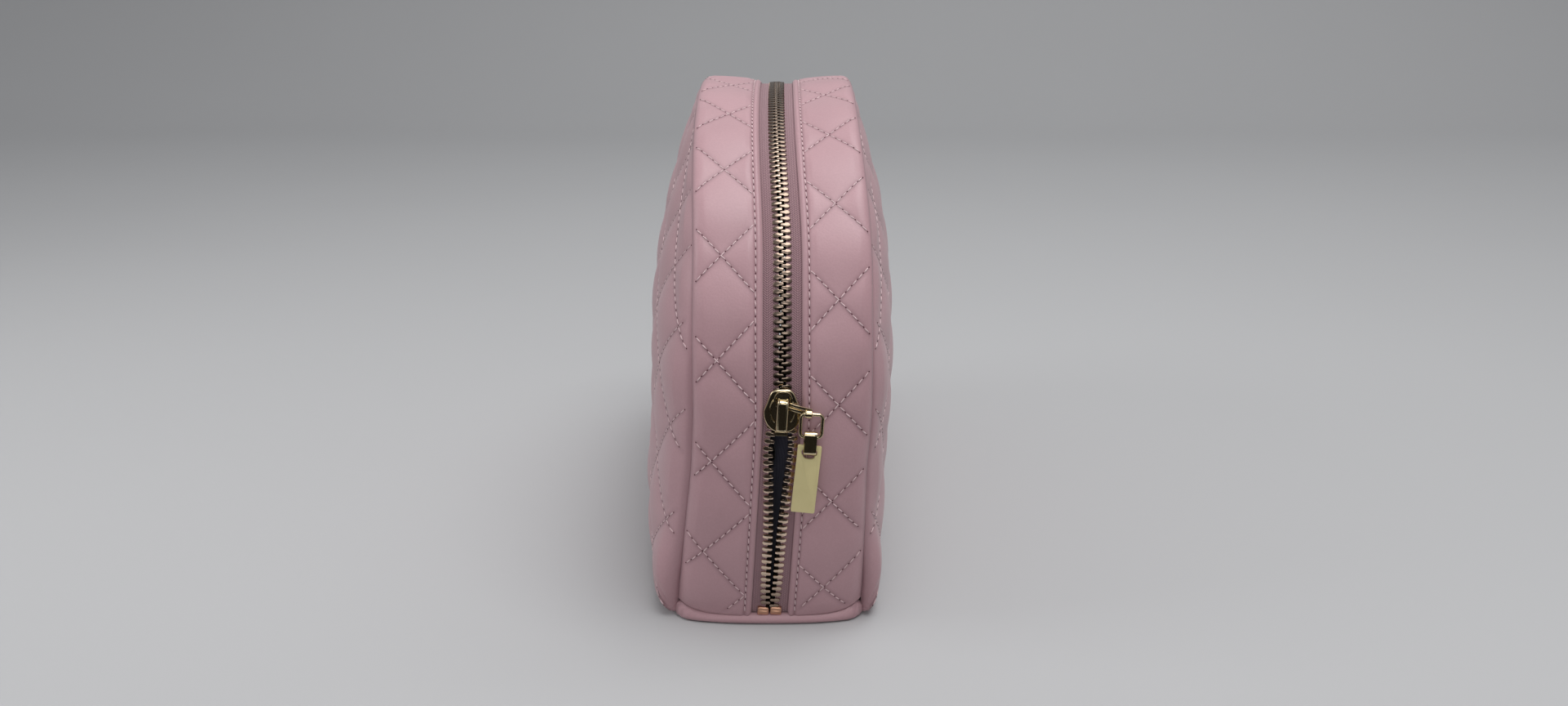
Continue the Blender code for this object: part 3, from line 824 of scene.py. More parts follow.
@dataclass
class Finishes:
    """Every material of the bag, made once."""

    leather: bpy.types.Material = field(init=False)
    thread: bpy.types.Material = field(init=False)
    hole: bpy.types.Material = field(init=False)
    tape: bpy.types.Material = field(init=False)
    lining: bpy.types.Material = field(init=False)
    wadding: bpy.types.Material = field(init=False)
    card: bpy.types.Material = field(init=False)
    teeth: bpy.types.Material = field(init=False)
    gold: bpy.types.Material = field(init=False)
    satin: bpy.types.Material = field(init=False)
    copper: bpy.types.Material = field(init=False)

    def __post_init__(self) -> None:
        """Builds the materials."""
        self.leather = Leather().material()
        self.thread = Thread().material()
        self.hole = NeedleHole().material()
        self.tape = TapeCloth().material()
        self.lining = LiningCloth().material()
        self.wadding = Wadding().material()
        self.card = Card().material()
        self.teeth = Metal(
            "champagne_teeth",
            colour=(0.27, 0.205, 0.16),
            worn=(0.16, 0.115, 0.09),
            roughness=(0.12, 0.28),
            # paler colour painted on open teeth and on each tooth's head, as a highlight
            polished=(0.90, 0.70, 0.54),
        ).material()
        self.gold = Metal(
            "pale_gold",
            colour=(0.74, 0.63, 0.42),
            worn=(0.60, 0.49, 0.31),
            roughness=(0.08, 0.20),
            scratch=0.05,
        ).material()
        self.satin = Metal(
            "satin_gold",
            colour=(0.77, 0.67, 0.35),
            worn=(0.70, 0.60, 0.30),
            roughness=(0.30, 0.42),
            scratch=0.15,
            metallic=0.15,
        ).material()
        self.copper = Metal(
            "coppery_stop",
            colour=(0.72, 0.42, 0.28),
            worn=(0.55, 0.30, 0.20),
            roughness=(0.25, 0.40),
        ).material()


# ---- quilting ----
@dataclass(frozen=True)
class Quilting:
    """Diamond quilting on flat coordinates, along and across the piece."""

    pitch: float
    width: float
    along_start: float
    across_start: float
    across_drift: float = 0.0
    drift_end: float = 204.0
    height: float = 1.05

    @property
    def spacing(self) -> float:
        """Distance between neighbouring lines that run the same way."""
        return self.pitch * self.width / math.hypot(self.pitch, self.width)

    def phases(self, along: Array, across: Array) -> Flat:
        """Where points lie between the lines of each family, whole numbers being on a line."""
        column = self.across_start + self.across_drift * np.clip(along, 0.0, self.drift_end)
        first = (along - self.along_start) / self.pitch
        second = (np.abs(across) - column) / self.width
        return first + second, first - second

    def distances(self, along: Array, across: Array) -> Flat:
        """Distance from points to the nearest line of each family."""
        return tuple(np.abs(p - np.round(p)) * self.spacing for p in self.phases(along, across))

    def relief(self, along: Array, across: Array) -> Array:
        """How far the filling lifts the leather between the lines."""
        lifts = []
        for gap in self.distances(along, across):
            soft = np.sqrt(gap * gap + 0.25) - 0.5
            lifts.append(1 - (1 - np.clip(soft / (self.spacing / 2), 0, 1)) ** 2.4)
        return self.height * lifts[0] * lifts[1]

    def crease(self, along: Array, across: Array) -> Array:
        """1 on a line of stitches, falling to 0 beside it."""
        near = np.minimum(*self.distances(along, across))
        return np.exp(-((near / 0.9) ** 2))

    def stitches(self, spans: tuple[float, float, float, float], step: float) -> list[Flat]:
        """Each line's stitch places, in flat coordinates.

        Args:
            spans: lowest and highest along, then lowest and highest across.
            step: distance between stitches.

        Returns:
            The along and across values of each line, in order.
        """
        low, high, near, far = spans
        move = step * self.width / math.hypot(self.pitch, self.width)
        across = np.arange(near, far, move)
        lines = []
        for way in (1, -1):
            slants = [way * (a - self.across_start) / self.width for a in (near, far)]
            first = math.floor((low - self.along_start) / self.pitch + min(slants)) - 1
            last = math.ceil((high - self.along_start) / self.pitch + max(slants)) + 1
            for k in range(first, last + 1):
                along = np.full(len(across), 0.0)
                for _ in range(3):
                    column = self.across_start + self.across_drift * np.clip(along, 0.0, self.drift_end)
                    along = self.along_start + self.pitch * (k - way * (across - column) / self.width)
                kept = (along > low) & (along < high)
                if kept.sum() > 1:
                    lines.append((along[kept], across[kept]))
        return lines


@dataclass
class Sewing:
    """Rows of stitches: a raised thread, then the needle hole that it goes down."""

    length: float = 2.15
    step: float = 2.9
    radius: float = 0.22
    hole: float = 0.245

    def __post_init__(self) -> None:
        """Makes the thread's and the hole's small shapes."""
        thread = bmesh.new()
        bmesh.ops.create_uvsphere(thread, u_segments=6, v_segments=6, radius=1.0)
        bmesh.ops.rotate(thread, verts=thread.verts, matrix=Matrix.Rotation(math.pi / 2, 3, "Y"))
        self.thread = as_mesh("thread", thread, Matrix.Identity(4))
        dimple = bmesh.new()
        bmesh.ops.create_icosphere(dimple, subdivisions=1, radius=1.0)
        self.dimple = as_mesh("dimple", dimple, Matrix.Identity(4))
        for polygon in self.dimple.polygons:
            polygon.material_index = 1

    def row(self, stamp: Stamp, points: Array, along: Array, out: Array) -> None:
        """Stamps one row.

        Args:
            stamp: where the shapes go.
            points: the stitches' middles.
            along: the row's direction at each.
            out: the surface's normal at each.
        """
        for point, way, up in zip(points, along, out):
            side = np.cross(up, way)
            slant = way * 0.995 + side * 0.10
            turned = np.cross(up, slant)
            middle = point + up * 0.05
            half = self.length / 2
            matrix = frame_matrix(middle, slant * half, turned * self.radius, up * self.radius)
            stamp.press(self.thread, matrix)
            place = point + way * self.step / 2 + up * 0.02
            flat = frame_matrix(place, way * self.hole * 1.25, side * self.hole, up * 0.09)
            stamp.press(self.dimple, flat)


def surface_frames(
    place: Callable[[Array, Array], Array], a: Array, b: Array, outward: Array
) -> Frames:
    """Points, directions and normals of a surface along a path of flat coordinates.

    Args:
        place: turns flat coordinates into points.
        a: the path's first coordinates.
        b: the path's second coordinates.
        outward: a rough outward direction for each point.

    Returns:
        The points, the unit directions along the path and the unit normals.
    """
    points = place(a, b)
    step = 0.4
    one = place(a + step, b) - place(a - step, b)
    two = place(a, b + step) - place(a, b - step)
    out = np.cross(one, two)
    out /= np.linalg.norm(out, axis=1)[:, None] + 1e-12
    out *= np.sign((out * outward).sum(1))[:, None]
    way = np.gradient(points, axis=0)
    way -= out * (way * out).sum(1)[:, None]
    way /= np.linalg.norm(way, axis=1)[:, None] + 1e-12
    return points, way, out


def inflate(piece: bpy.types.Object, held: Array, pressure: float, cap: float, frames: int = 18) -> None:
    """Puffs a sheet out between the points that are held, by cloth simulation.

    Args:
        piece: an open sheet whose normals face out.
        held: how firmly each point is held, from 0 to 1.
        pressure: the air's pressure behind the sheet.
        cap: the furthest that a point may move, in millimetres.
        frames: how long the cloth moves.
    """
    pins = piece.vertex_groups.new(name="held")
    for level in np.unique(held.round(2)):
        pins.add(np.flatnonzero(held.round(2) == level).tolist(), float(level), "REPLACE")
    start = coordinates(piece.data)
    cloth = piece.modifiers.new("cloth", "CLOTH")
    settings = cloth.settings
    settings.quality = 6
    settings.mass = 0.25
    settings.tension_stiffness = settings.compression_stiffness = 12.0
    settings.shear_stiffness = 6.0
    settings.bending_stiffness = 0.4
    settings.air_damping = 4.0
    settings.vertex_group_mass = "held"
    settings.use_pressure = True
    settings.uniform_pressure_force = pressure
    settings.effector_weights.gravity = 0.0
    cloth.collision_settings.use_collision = False
    scene = bpy.context.scene
    for number in range(1, frames + 1):
        scene.frame_set(number)
    graph = bpy.context.evaluated_depsgraph_get()
    moved = coordinates(piece.evaluated_get(graph).data) - start
    piece.modifiers.remove(cloth)
    piece.vertex_groups.clear()
    scene.frame_set(1)
    out = normals(piece.data)
    rise = np.clip((moved * out).sum(1), 0.0, None)
    limit = cap * MM
    rise = limit * np.tanh(rise / limit)
    log.info("%s rose by up to %.2f mm", piece.name, rise.max() / MM)
    set_coordinates(piece.data, start + out * rise[:, None])


# ---- soft pieces ----
@dataclass
class SoftParts:
    """What every soft piece needs: the form, the finishes and the sewing."""

    form: Form
    finishes: Finishes
    sewing: Sewing
    leather: float = 1.0
    fold_from: Triple = (0.0, 0.0, 0.003)
    fold_to: Triple = (0.0, 0.0, 0.045)

    def attach(self, piece: bpy.types.Object, side: Side, slot: str, *nodes: str) -> None:
        """Lets a back piece follow the back half and bakes a front piece where it stands.

        Args:
            piece: the finished piece.
            side: its half.
            slot: not used.
            nodes: the solids that it replaces.
        """
        if side is Side.FRONT:
            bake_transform(piece)
        else:
            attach(piece, "back_half")
        if nodes:
            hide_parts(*nodes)
        log.info("%s: %d faces", piece.name, len(piece.data.polygons))

    def declare_cloth(self, piece: bpy.types.Object, width: float, length: float) -> None:
        """Takes a piece of flat-cut cloth with its cut's width and length, and does nothing with them."""

    def thicken(self, piece: bpy.types.Object, thickness: float) -> None:
        """Gives an outer surface its thickness inwards."""
        wall = piece.modifiers.new("wall", "SOLIDIFY")
        wall.thickness = thickness * MM
        wall.offset = -1.0
        bake_modifiers(piece)

    def refine(self, piece: bpy.types.Object) -> None:
        """Doubles a sheet's resolution, rounded."""
        sub = piece.modifiers.new("refine", "SUBSURF")
        sub.levels = sub.render_levels = 1
        bake_modifiers(piece)


@dataclass
class Panel(SoftParts):
    """The front or back of the bag: quilted leather, wadding and lining."""

    side: Side = Side.FRONT
    cells: tuple[int, int] = (124, 88)
    margin: float = 1.6

    def __post_init__(self) -> None:
        """Chooses the quilting of this side."""
        self.quilting = Quilting(pitch=35.0, width=32.0, along_start=21.0, across_start=0.0, height=1.25)

    def outward(self, points: Array) -> Array:
        """The way that the panel faces."""
        return np.tile((0.0, float(self.side.value), 0.0), (len(points), 1))

    def place(self, x: Array, z: Array, depth: float = 0.0) -> Array:
        """Points of the panel's surface."""
        return self.form.panel(x, z, self.side, depth)

    def distances(self, x: Array, z: Array) -> Array:
        """Distance to the panel's edge."""
        return np.minimum(self.form.seam_distance(x, z), z - self.form.seam_z)

    def phases(self, x: Array) -> Array:
        """The quilting's across coordinate, which isn't mirrored about the middle."""
        return x + MIRROR_SHIFT

    def gathers(self, x: Array, z: Array) -> Array:
        """Small tucks that fan out from the lower corners."""
        corner_x, corner_z = self.form.seam[0][0], self.form.seam_z
        dx, dz = corner_x - np.abs(x), z - corner_z
        radius = np.hypot(dx, dz)
        angle = np.arctan2(dz, np.maximum(dx, 1e-6))
        return -0.9 * np.exp(-((radius - 4.0) ** 2) / 40.0) * np.cos(angle * 9.0 + 0.6) ** 2

    def build(self) -> bpy.types.Object:
        """Makes the quilted leather."""
        name = f"{self.side.label}_panel_leather"
        form = self.form

        def flat(u: Array, v: Array) -> Flat:
            """Turns the unit square into flat coordinates."""
            u = 0.62 * u + 0.38 * (0.5 - 0.5 * np.cos(math.pi * u))
            v = 0.62 * v + 0.38 * (0.5 - 0.5 * np.cos(math.pi * v))
            return form.panel_plan(u, v)

        mesh = sheet_mesh(name, self.cells, flat, self.place, self.outward)
        piece = new_object(name, mesh, self.finishes.leather)
        x, z = get_attribute(mesh, "flat_a"), get_attribute(mesh, "flat_b")
        crease = self.quilting.crease(z, self.phases(x))
        edge = np.exp(-((self.distances(x, z) / 2.5) ** 2))
        inflate(piece, np.clip(np.maximum(crease * 1.3, edge), 0, 1), 3.0, 1.6)
        self.refine(piece)
        mesh = piece.data
        x, z = get_attribute(mesh, "flat_a"), get_attribute(mesh, "flat_b")
        inset = np.clip(self.distances(x, z) / 5.0, 0, 1)
        relief = self.quilting.relief(z, self.phases(x)) * inset
        relief = relief + self.gathers(x, z) * np.clip(inset * 3, 0, 1)
        set_coordinates(mesh, coordinates(mesh) + normals(mesh) * (relief * MM)[:, None])
        # painted shade: the stitch lines and the seam go into the crease attribute, which darkens the leather
        # there
        seam = 0.8 * np.exp(-((self.form.seam_distance(x, z) / 0.7) ** 2))
        put_attribute(mesh, "crease", np.maximum(self.quilting.crease(z, self.phases(x)) * inset, seam))
        self.thicken(piece, self.leather)
        self.attach(piece, self.side, "leather_pink", f"{self.side.label}_panel")
        return piece

    def sew(self) -> bpy.types.Object:
        """Sews the diamonds."""
        stamp = Stamp()
        reach = self.form.half_length + 1
        spans = (self.form.seam_z, self.form.height, MIRROR_SHIFT - reach, MIRROR_SHIFT + reach)
        for z, across in self.quilting.stitches(spans, self.sewing.step):
            x = across - MIRROR_SHIFT
            kept = self.form.within(x, z)
            x, z = x[kept], z[kept]
            if len(x) < 2:
                continue
            clear = self.distances(x, z) > self.margin
            points, way, out = surface_frames(self.place, x, z, self.outward(np.zeros((len(x), 3))))
            self.sewing.row(stamp, points[clear], way[clear], out[clear])
        name = f"{self.side.label}_panel_stitching"
        piece = new_object(name, stamp.mesh(name), self.finishes.thread, self.finishes.hole)
        self.attach(piece, self.side, "leather_pink")
        return piece

    def line(self) -> None:
        """Makes the wadding and the lining behind the leather."""
        kinds = (
            ("wadding", 1.9, 1.2, 0.055, 0.055, self.finishes.wadding),
            ("lining", 4.1, 0.5, 0.022, 0.004, self.finishes.lining),
        )
        for kind, depth, thickness, inset, foot, finish in kinds:
            name = f"{self.side.label}_panel_{kind}_cloth"

            def flat(u: Array, v: Array, inset: float = inset, foot: float = foot) -> Flat:
                """Turns the unit square into flat coordinates."""
                return self.form.panel_plan(inset + u * (1 - 2 * inset), foot + v * (1 - inset - foot))

            mesh = sheet_mesh(name, (80, 60), flat, lambda x, z, d=depth: self.place(x, z, d), self.outward)
            piece = new_object(name, mesh, finish)
            if kind == "lining":
                self.declare_cloth(piece, 1.9 * self.form.half_length, self.form.height)
            self.thicken(piece, thickness)
            slot = "wadding" if kind == "wadding" else "lining_dark"
            self.attach(piece, self.side, slot, f"{self.side.label}_panel_{kind}")


@dataclass
class Gusset(SoftParts):
    """Half of the strip that runs over the bag beside the zip."""

    side: Side = Side.FRONT
    edge: float = 6.5
    topstitch: float = 8.9
    cells: tuple[int, int] = (15, 250)
    fold_radius: float = 1.0

    def __post_init__(self) -> None:
        """Chooses the quilting of this side."""
        front = self.side is Side.FRONT
        if front:
            self.quilting = Quilting(35.2, 32.0, 26.7, 25.6, -0.040)
        else:
            self.quilting = Quilting(35.0, 32.0, 12.2, 18.5)

    def outward(self, points: Array) -> Array:
        """Roughly away from the bag's middle."""
        return points - MIDDLE

    def rim(self, s: Array) -> Array:
        """Distance from the zip's middle to the seam."""
        return self.form.half_width(self.form.at(s)[1])

    def place(self, s: Array, across: Array, depth: Array | float = 0.0) -> Array:
        """Points of the strip, rounded down into the seam and at the fold beside the zip."""
        drop = fillet(self.rim(s) - across, self.form.seam_roll, self.form.seam_depth)
        drop = drop + fillet(across - self.edge, self.fold_radius, self.fold_radius)
        return self.form.gusset(s, self.side.value * across, drop + depth)

    def build(self) -> bpy.types.Object:
        """Makes the quilted leather."""
        name = f"{self.side.label}_gusset_leather"

        def flat(u: Array, v: Array) -> Flat:
            """Turns the unit square into flat coordinates."""
            s = v * self.form.length
            u = 0.7 * u + 0.3 * (0.5 - 0.5 * np.cos(math.pi * u))
            return s, self.edge + u * (self.rim(s) - self.edge)

        mesh = sheet_mesh(name, self.cells, flat, self.place, self.outward)
        piece = new_object(name, mesh, self.finishes.leather)
        s, across = get_attribute(mesh, "flat_a"), get_attribute(mesh, "flat_b")
        sewn = np.exp(-(((self.rim(s) - across) / 2.5) ** 2))
        held = np.maximum(self.quilting.crease(s, across) * 1.3, sewn)
        held = np.maximum(held, np.where(across < self.topstitch + 0.6, 1.0, 0.0))
        ends = np.minimum(s, self.form.length - s)
        held = np.maximum(held, np.exp(-((ends / 3.0) ** 2)))
        inflate(piece, np.clip(held, 0, 1), 3.0, 1.3)
        self.refine(piece)
        self.refine(piece)
        mesh = piece.data
        s, across = get_attribute(mesh, "flat_a"), get_attribute(mesh, "flat_b")
        inset = np.clip((self.rim(s) - across) / 4.0, 0, 1) * np.clip((across - self.topstitch) / 2.5, 0, 1)
        inset = inset * np.clip(np.minimum(s, self.form.length - s) / 5.0, 0, 1)
        seam = 0.45 * np.exp(-(((across - self.topstitch) / 0.55) ** 2))
        ridge = 0.25 * np.exp(-(((across - self.topstitch + 1.3) / 0.8) ** 2))
        relief = self.quilting.relief(s, across) * inset - seam + ridge
        set_coordinates(mesh, coordinates(mesh) + normals(mesh) * (relief * MM)[:, None])
        # painted shade: the stitch lines, the topstitch and the seam go into the crease attribute, which
        # darkens the leather there
        crease = self.quilting.crease(s, across) * inset
        rim = 0.8 * np.exp(-(((self.rim(s) - across) / 0.6) ** 2))
        topstitch = np.exp(-(((across - self.topstitch) / 0.6) ** 2))
        put_attribute(mesh, "crease", np.maximum(np.maximum(crease, topstitch), rim))
        self.thicken(piece, self.leather)
        self.attach(piece, self.side, "leather_pink", f"{self.side.label}_gusset")
        return piece

    def sew(self) -> bpy.types.Object:
        """Sews the diamonds and the line beside the zip."""
        stamp = Stamp()
        spans = (4.0, self.form.length - 4.0, self.topstitch + 1.2, self.form.half_width_low)
        rows = self.quilting.stitches(spans, self.sewing.step)
        along = np.arange(3.0, self.form.length - 3.0, self.sewing.step)
        rows.append((along, np.full(len(along), self.topstitch)))
        for s, across in rows:
            clear = across < self.rim(s) - 1.8
            if clear.sum() < 2:
                continue
            s, across = s[clear], across[clear]
            rough = self.outward(self.place(s, across))
            points, way, out = surface_frames(self.place, s, across, rough)
            depth = np.where(np.abs(across - self.topstitch) < 0.01, 0.35, 0.0)
            self.sewing.row(stamp, points - out * depth[:, None], way, out)
        name = f"{self.side.label}_gusset_stitching"
        piece = new_object(name, stamp.mesh(name), self.finishes.thread, self.finishes.hole)
        self.attach(piece, self.side, "leather_pink")
        return piece

    def line(self) -> None:
        """Makes the wadding and the lining behind the leather."""
        kinds = (
            ("wadding", 1.9, 1.2, 16.0, 2.5, self.finishes.wadding),
            ("lining", 4.1, 0.5, 8.6, 4.0, self.finishes.lining),
        )
        for kind, depth, thickness, inner, short, finish in kinds:
            name = f"{self.side.label}_gusset_{kind}_cloth"

            def flat(u: Array, v: Array, inner: float = inner, short: float = short) -> Flat:
                """Turns the unit square into flat coordinates."""
                s = 1.0 + v * (self.form.length - 2.0)
                return s, inner + u * (self.rim(s) - short - inner)

            def place(s: Array, across: Array, depth: float = depth) -> Array:
                """Points of this layer."""
                return self.form.gusset(s, self.side.value * across, depth)

            mesh = sheet_mesh(name, (6, 160), flat, place, self.outward)
            piece = new_object(name, mesh, finish)
            if kind == "lining":
                self.declare_cloth(piece, self.form.half_width_low - inner, self.form.length)
            self.thicken(piece, thickness)
            slot = "wadding" if kind == "wadding" else "lining_dark"
            self.attach(piece, self.side, slot, f"{self.side.label}_gusset_{kind}")


@dataclass
class ZipHalf(SoftParts):
    """One woven tape with its row of metal teeth."""

    side: Side = Side.FRONT
    closed_offset: float = 0.2
    pitch: float = 2.55
    start_z: float = 6.6
    middle_depth: float = 1.8
    opening: tuple[tuple[float, float], ...] = (
        (6.0, 0.4),
        (17.0, 1.0),
        (40.0, 1.3),
        (55.0, 2.1),
        (69.0, 3.05),
        (75.0, 2.5),
        (79.0, 2.0),
        (84.0, 0.6),
        (88.0, 0.2),
    )

    def offset(self, s: Array) -> Array:
        """Distance from the zip's middle to the row."""
        heights, offsets = zip(*self.opening)
        z = self.form.at(s)[1]
        opened = np.interp(z, heights, offsets)
        return np.where(s > self.form.s_at(self.opening[-1][0]), self.closed_offset, opened)

    def place(self, s: Array, across: Array, depth: Array | float = 0.0) -> Array:
        """Points at the tape's middle."""
        return self.form.gusset(s, self.side.value * across, self.middle_depth + depth)

    def tooth(self) -> bpy.types.Mesh:
        """One tooth: a rounded head, a waist and two legs that pinch the tape."""
        head = [(-0.62, 0.30), (-0.35, 0.58), (0.40, 0.64)]
        half = [*head, (0.75, 0.64), (1.15, 0.98), (2.30, 0.84), (2.90, 0.40)]
        outline = half + [(x, -y) for x, y in reversed(half)]
        shape = prism(outline, -1.15, 1.15)
        for vert in shape.verts:
            vert.co.z *= 1.0 - 0.12 * max(vert.co.x - 1.0, 0.0)
        round_edges(shape, 0.24, 2, 60.0)
        return as_mesh("tooth", shape, Matrix.Identity(4))

    def teeth(self) -> bpy.types.Object:
        """Stamps the row."""
        tooth = self.tooth()
        stamp = Stamp()
        start = self.form.s_at(self.start_z)
        shift = self.pitch / 2 if self.side is Side.FRONT else 0.0
        s = np.arange(start + 0.6 + shift, self.form.length - start, self.pitch)
        offset = self.offset(s)
        rough = self.place(s, offset) - MIDDLE
        points, way, out = surface_frames(self.place, s, offset, rough)
        wobble = np.random.default_rng(7 + self.side.value).normal(0.0, 0.035, (len(s), 2))
        for point, along, up, (twist, tip) in zip(points, way, out, wobble):
            across = np.cross(along, up)
            across *= np.sign(across[1] * self.side.value)
            tilted = along + across * twist
            raised = up + along * tip
            stamp.press(tooth, frame_matrix(point, across, tilted, raised))
        name = f"{self.side.label}_zip_teeth_row"
        mesh = stamp.mesh(name)
        # painted highlight: open teeth, and faintly each tooth's head, get the paler colour in place of
        # brighter reflections
        opened = smooth_step((offset - self.closed_offset) / 1.2)[:, None]
        reach = coordinates(tooth)[:, 0]
        head = 1.0 - smooth_step((reach - reach.min()) / (0.22 * np.ptp(reach)))
        put_attribute(mesh, "polish", np.maximum(opened * 0.9, 0.3 * head[None, :]).ravel())
        piece = new_object(name, mesh, self.finishes.teeth)
        self.attach(piece, self.side, "teeth_brass", f"{self.side.label}_zip_teeth")
        return piece

    def tape(self) -> bpy.types.Object:
        """Weaves the tape, with a beaded edge inside the teeth."""
        name = f"{self.side.label}_zip_tape_cloth"

        def flat(u: Array, v: Array) -> Flat:
            """Turns the unit square into flat coordinates."""
            s = 0.6 + v * (self.form.length - 1.2)
            inner = self.offset(s) + 1.1
            return s, inner + u * (14.5 - inner)

        def place(s: Array, across: Array) -> Array:
            """Points of this layer."""
            bead = 0.45 * np.exp(-(((across - self.offset(s) - 1.4) / 0.7) ** 2))
            return self.place(s, across, -0.3 - bead)

        def outward(points: Array) -> Array:
            """Roughly away from the bag's middle."""
            return points - MIDDLE

        mesh = sheet_mesh(name, (14, 400), flat, place, outward)
        piece = new_object(name, mesh, self.finishes.tape)
        self.declare_cloth(piece, 14.5 - self.closed_offset, self.form.length)
        self.thicken(piece, 0.6)
        self.attach(piece, self.side, "tape_pink", f"{self.side.label}_zip_tape")
        return piece


# ---- base and stops ----
def rounded_box(width: float, height: float, radius: float, turns: int = 6) -> list[tuple[float, float]]:
    """A rectangle about the origin with round corners, anticlockwise."""
    points = []
    for k, (sx, sy) in enumerate(((1, -1), (1, 1), (-1, 1), (-1, -1))):
        for step in range(turns + 1):
            angle = math.radians(-90 + 90 * k + 90 * step / turns)
            x = sx * (width / 2 - radius) + radius * math.cos(angle)
            points.append((x, sy * (height / 2 - radius) + radius * math.sin(angle)))
    return points


def even_loop(outline: Sequence[tuple[float, float]], count: int) -> Array:
    """A closed outline's points again, evenly spaced."""
    closed = np.array([*outline, outline[0]])
    run = Form.lengths(closed)
    places = np.linspace(0.0, run[-1], count, endpoint=False)
    return np.column_stack([np.interp(places, run, closed[:, k]) for k in (0, 1)])


def stack(loops: Array, closed: bool = False) -> bmesh.types.BMesh:
    """A skin over closed loops that follow one another.

    Args:
        loops: the loops' points, all with the same count.
        closed: whether the last loop joins the first one.

    Returns:
        A closed shape, with its first and last loops filled unless they join.
    """
    loops = np.asarray(loops, float)
    rows, around = loops.shape[:2]
    if closed:
        loops, rows = np.concatenate([loops, loops[:1]]), rows + 1
    shape = bmesh.new()
    bmesh.ops.create_grid(shape, x_segments=around, y_segments=rows - 1, size=1.0)
    for vert in shape.verts:
        j = round((vert.co.x + 1) / 2 * around) % around
        k = round((vert.co.y + 1) / 2 * (rows - 1))
        vert.co = loops[k][j]
    bmesh.ops.remove_doubles(shape, verts=shape.verts, dist=1e-4)
    if not closed:
        bmesh.ops.holes_fill(shape, edges=[e for e in shape.edges if e.is_boundary], sides=0)
    return shape


def sweep(path: Array, up: Array, section: Array, closed: bool = False) -> bmesh.types.BMesh:
    """Draws a closed section along a path.

    Args:
        path: the points that the section passes through.
        up: the section's upward direction, one for all points or one each.
        section: the section's points, sideways and upwards.
        closed: whether the path ends where it starts.

    Returns:
        A closed shape, capped where the path is open.
    """
    path = np.asarray(path, float)
    if closed:
        path = np.vstack([path, path[:1]])
    tangent = np.gradient(path, axis=0)
    if closed:
        tangent[0] = tangent[-1] = path[1] - path[-2]
    tangent /= np.linalg.norm(tangent, axis=1)[:, None]
    up = np.broadcast_to(np.asarray(up, float), path.shape)
    up = up - tangent * (up * tangent).sum(1)[:, None]
    up = up / np.linalg.norm(up, axis=1)[:, None]
    side = np.cross(up, tangent)
    section = np.asarray(section, float)
    loops = path[:, None] + side[:, None] * section[:, :1] + up[:, None] * section[:, 1:]
    return stack(loops[:-1] if closed else loops, closed)


def disc(radius: float, count: int = 10, flat: float = 1.0) -> Array:
    """A round section, flattened upwards by a factor."""
    turn = np.linspace(0.0, math.tau, count, endpoint=False)
    return np.column_stack([radius * np.cos(turn), radius * flat * np.sin(turn)])


def join_shapes(name: str, parts: Sequence[tuple[bmesh.types.BMesh, Matrix]]) -> bpy.types.Mesh:
    """Several closed shapes, each put in place, as one mesh."""
    whole = bmesh.new()
    for shape, matrix in parts:
        mesh = as_mesh("part", shape, matrix)
        whole.from_mesh(mesh)
        bpy.data.meshes.remove(mesh)
    made = bpy.data.meshes.new(name)
    whole.to_mesh(made)
    whole.free()
    return made


@dataclass
class Base(SoftParts):
    """The bottom: a leather tray whose edge rolls up to the seam, with a board and a lining."""

    crown: float = 3.8
    corner: float = 5.4
    side_inset: float = 0.1
    wall: tuple[tuple[float, float], ...] = (
        (6.0, 0.15),
        (1.6, 0.02),
        (0.1, 0.2),
        (-0.6, 0.65),
        (-0.9, 1.3),
        (-0.8, 2.2),
        (-0.2, 2.9),
        (0.6, 3.5),
        (1.8, 3.8),
        (2.6, 3.2),
        (2.9, 1.3),
        (6.0, 1.1),
    )

    def outline(self, inset: float, count: int = 760) -> Array:
        """The bottom in plan, with crowned ends."""
        form = self.form
        half_x, half_y = float(form.line[0, 0]) - inset, form.half_width_low - self.side_inset - inset
        loop = even_loop(rounded_box(2 * half_x, 2 * half_y, max(self.corner - inset, 0.6)), count)
        crowned = self.crown * (np.abs(loop[:, 1]) / half_y) ** form.crown_power
        share = np.clip(np.abs(loop[:, 0]) / half_x, 0.0, 1.0) ** 4
        loop[:, 0] -= np.sign(loop[:, 0]) * crowned * share
        return loop

    def gathers(self, x: Array, y: Array) -> Array:
        """1 in the small tucks that ease the leather round each corner, 0 between them."""
        gap_x, gap_y = self.form.corner_x + 2.5 - np.abs(x), self.form.half_width_low - np.abs(y)
        return np.exp(-np.hypot(gap_x, gap_y) / 3.5) * np.cos((gap_x - gap_y) * 1.9) ** 4

    def build(self) -> None:
        """Makes the tray, the board and the lining."""
        loops = []
        for inset, z in self.wall:
            ring = self.outline(inset)
            lift = self.form.corner_lift(ring[:, 0], ring[:, 1])
            tucks = self.gathers(ring[:, 0], ring[:, 1]) * min(z / 1.5, 1.0)
            ring = ring * (1 - 0.012 * tucks)[:, None]
            loops.append(np.column_stack([ring, z * (1.0 + lift / 3.6 * min(z / 2.0, 1.0))]))
        name = "base_leather_tray"
        tray = new_object(name, as_mesh(name, stack(loops)), self.finishes.leather)
        places = coordinates(tray.data) / MM
        # painted shade in the corner tucks, through the crease attribute
        put_attribute(tray.data, "crease", 0.8 * self.gathers(places[:, 0], places[:, 1]))
        self.attach(tray, Side.BACK, "leather_pink", "base_panel")
        for name, finish, inset, low, high, slot in (
            ("base_stiffener", self.finishes.card, 2.4, 1.5, 2.9, "board"),
            ("base_lining_cloth", self.finishes.lining, 3.4, 3.4, 3.8, "lining_dark"),
        ):
            slab = prism([tuple(point) for point in self.outline(inset, 96)], low, high)
            round_edges(slab, 0.15, 1)
            node = "base_board" if slot == "board" else "base_lining"
            piece = new_object(name, as_mesh(name, slab), finish)
            self.attach(piece, Side.BACK, slot, node)
            if slot == "lining_dark":
                cut = 2 * np.abs(self.outline(inset, 96)).max(axis=0) * MM


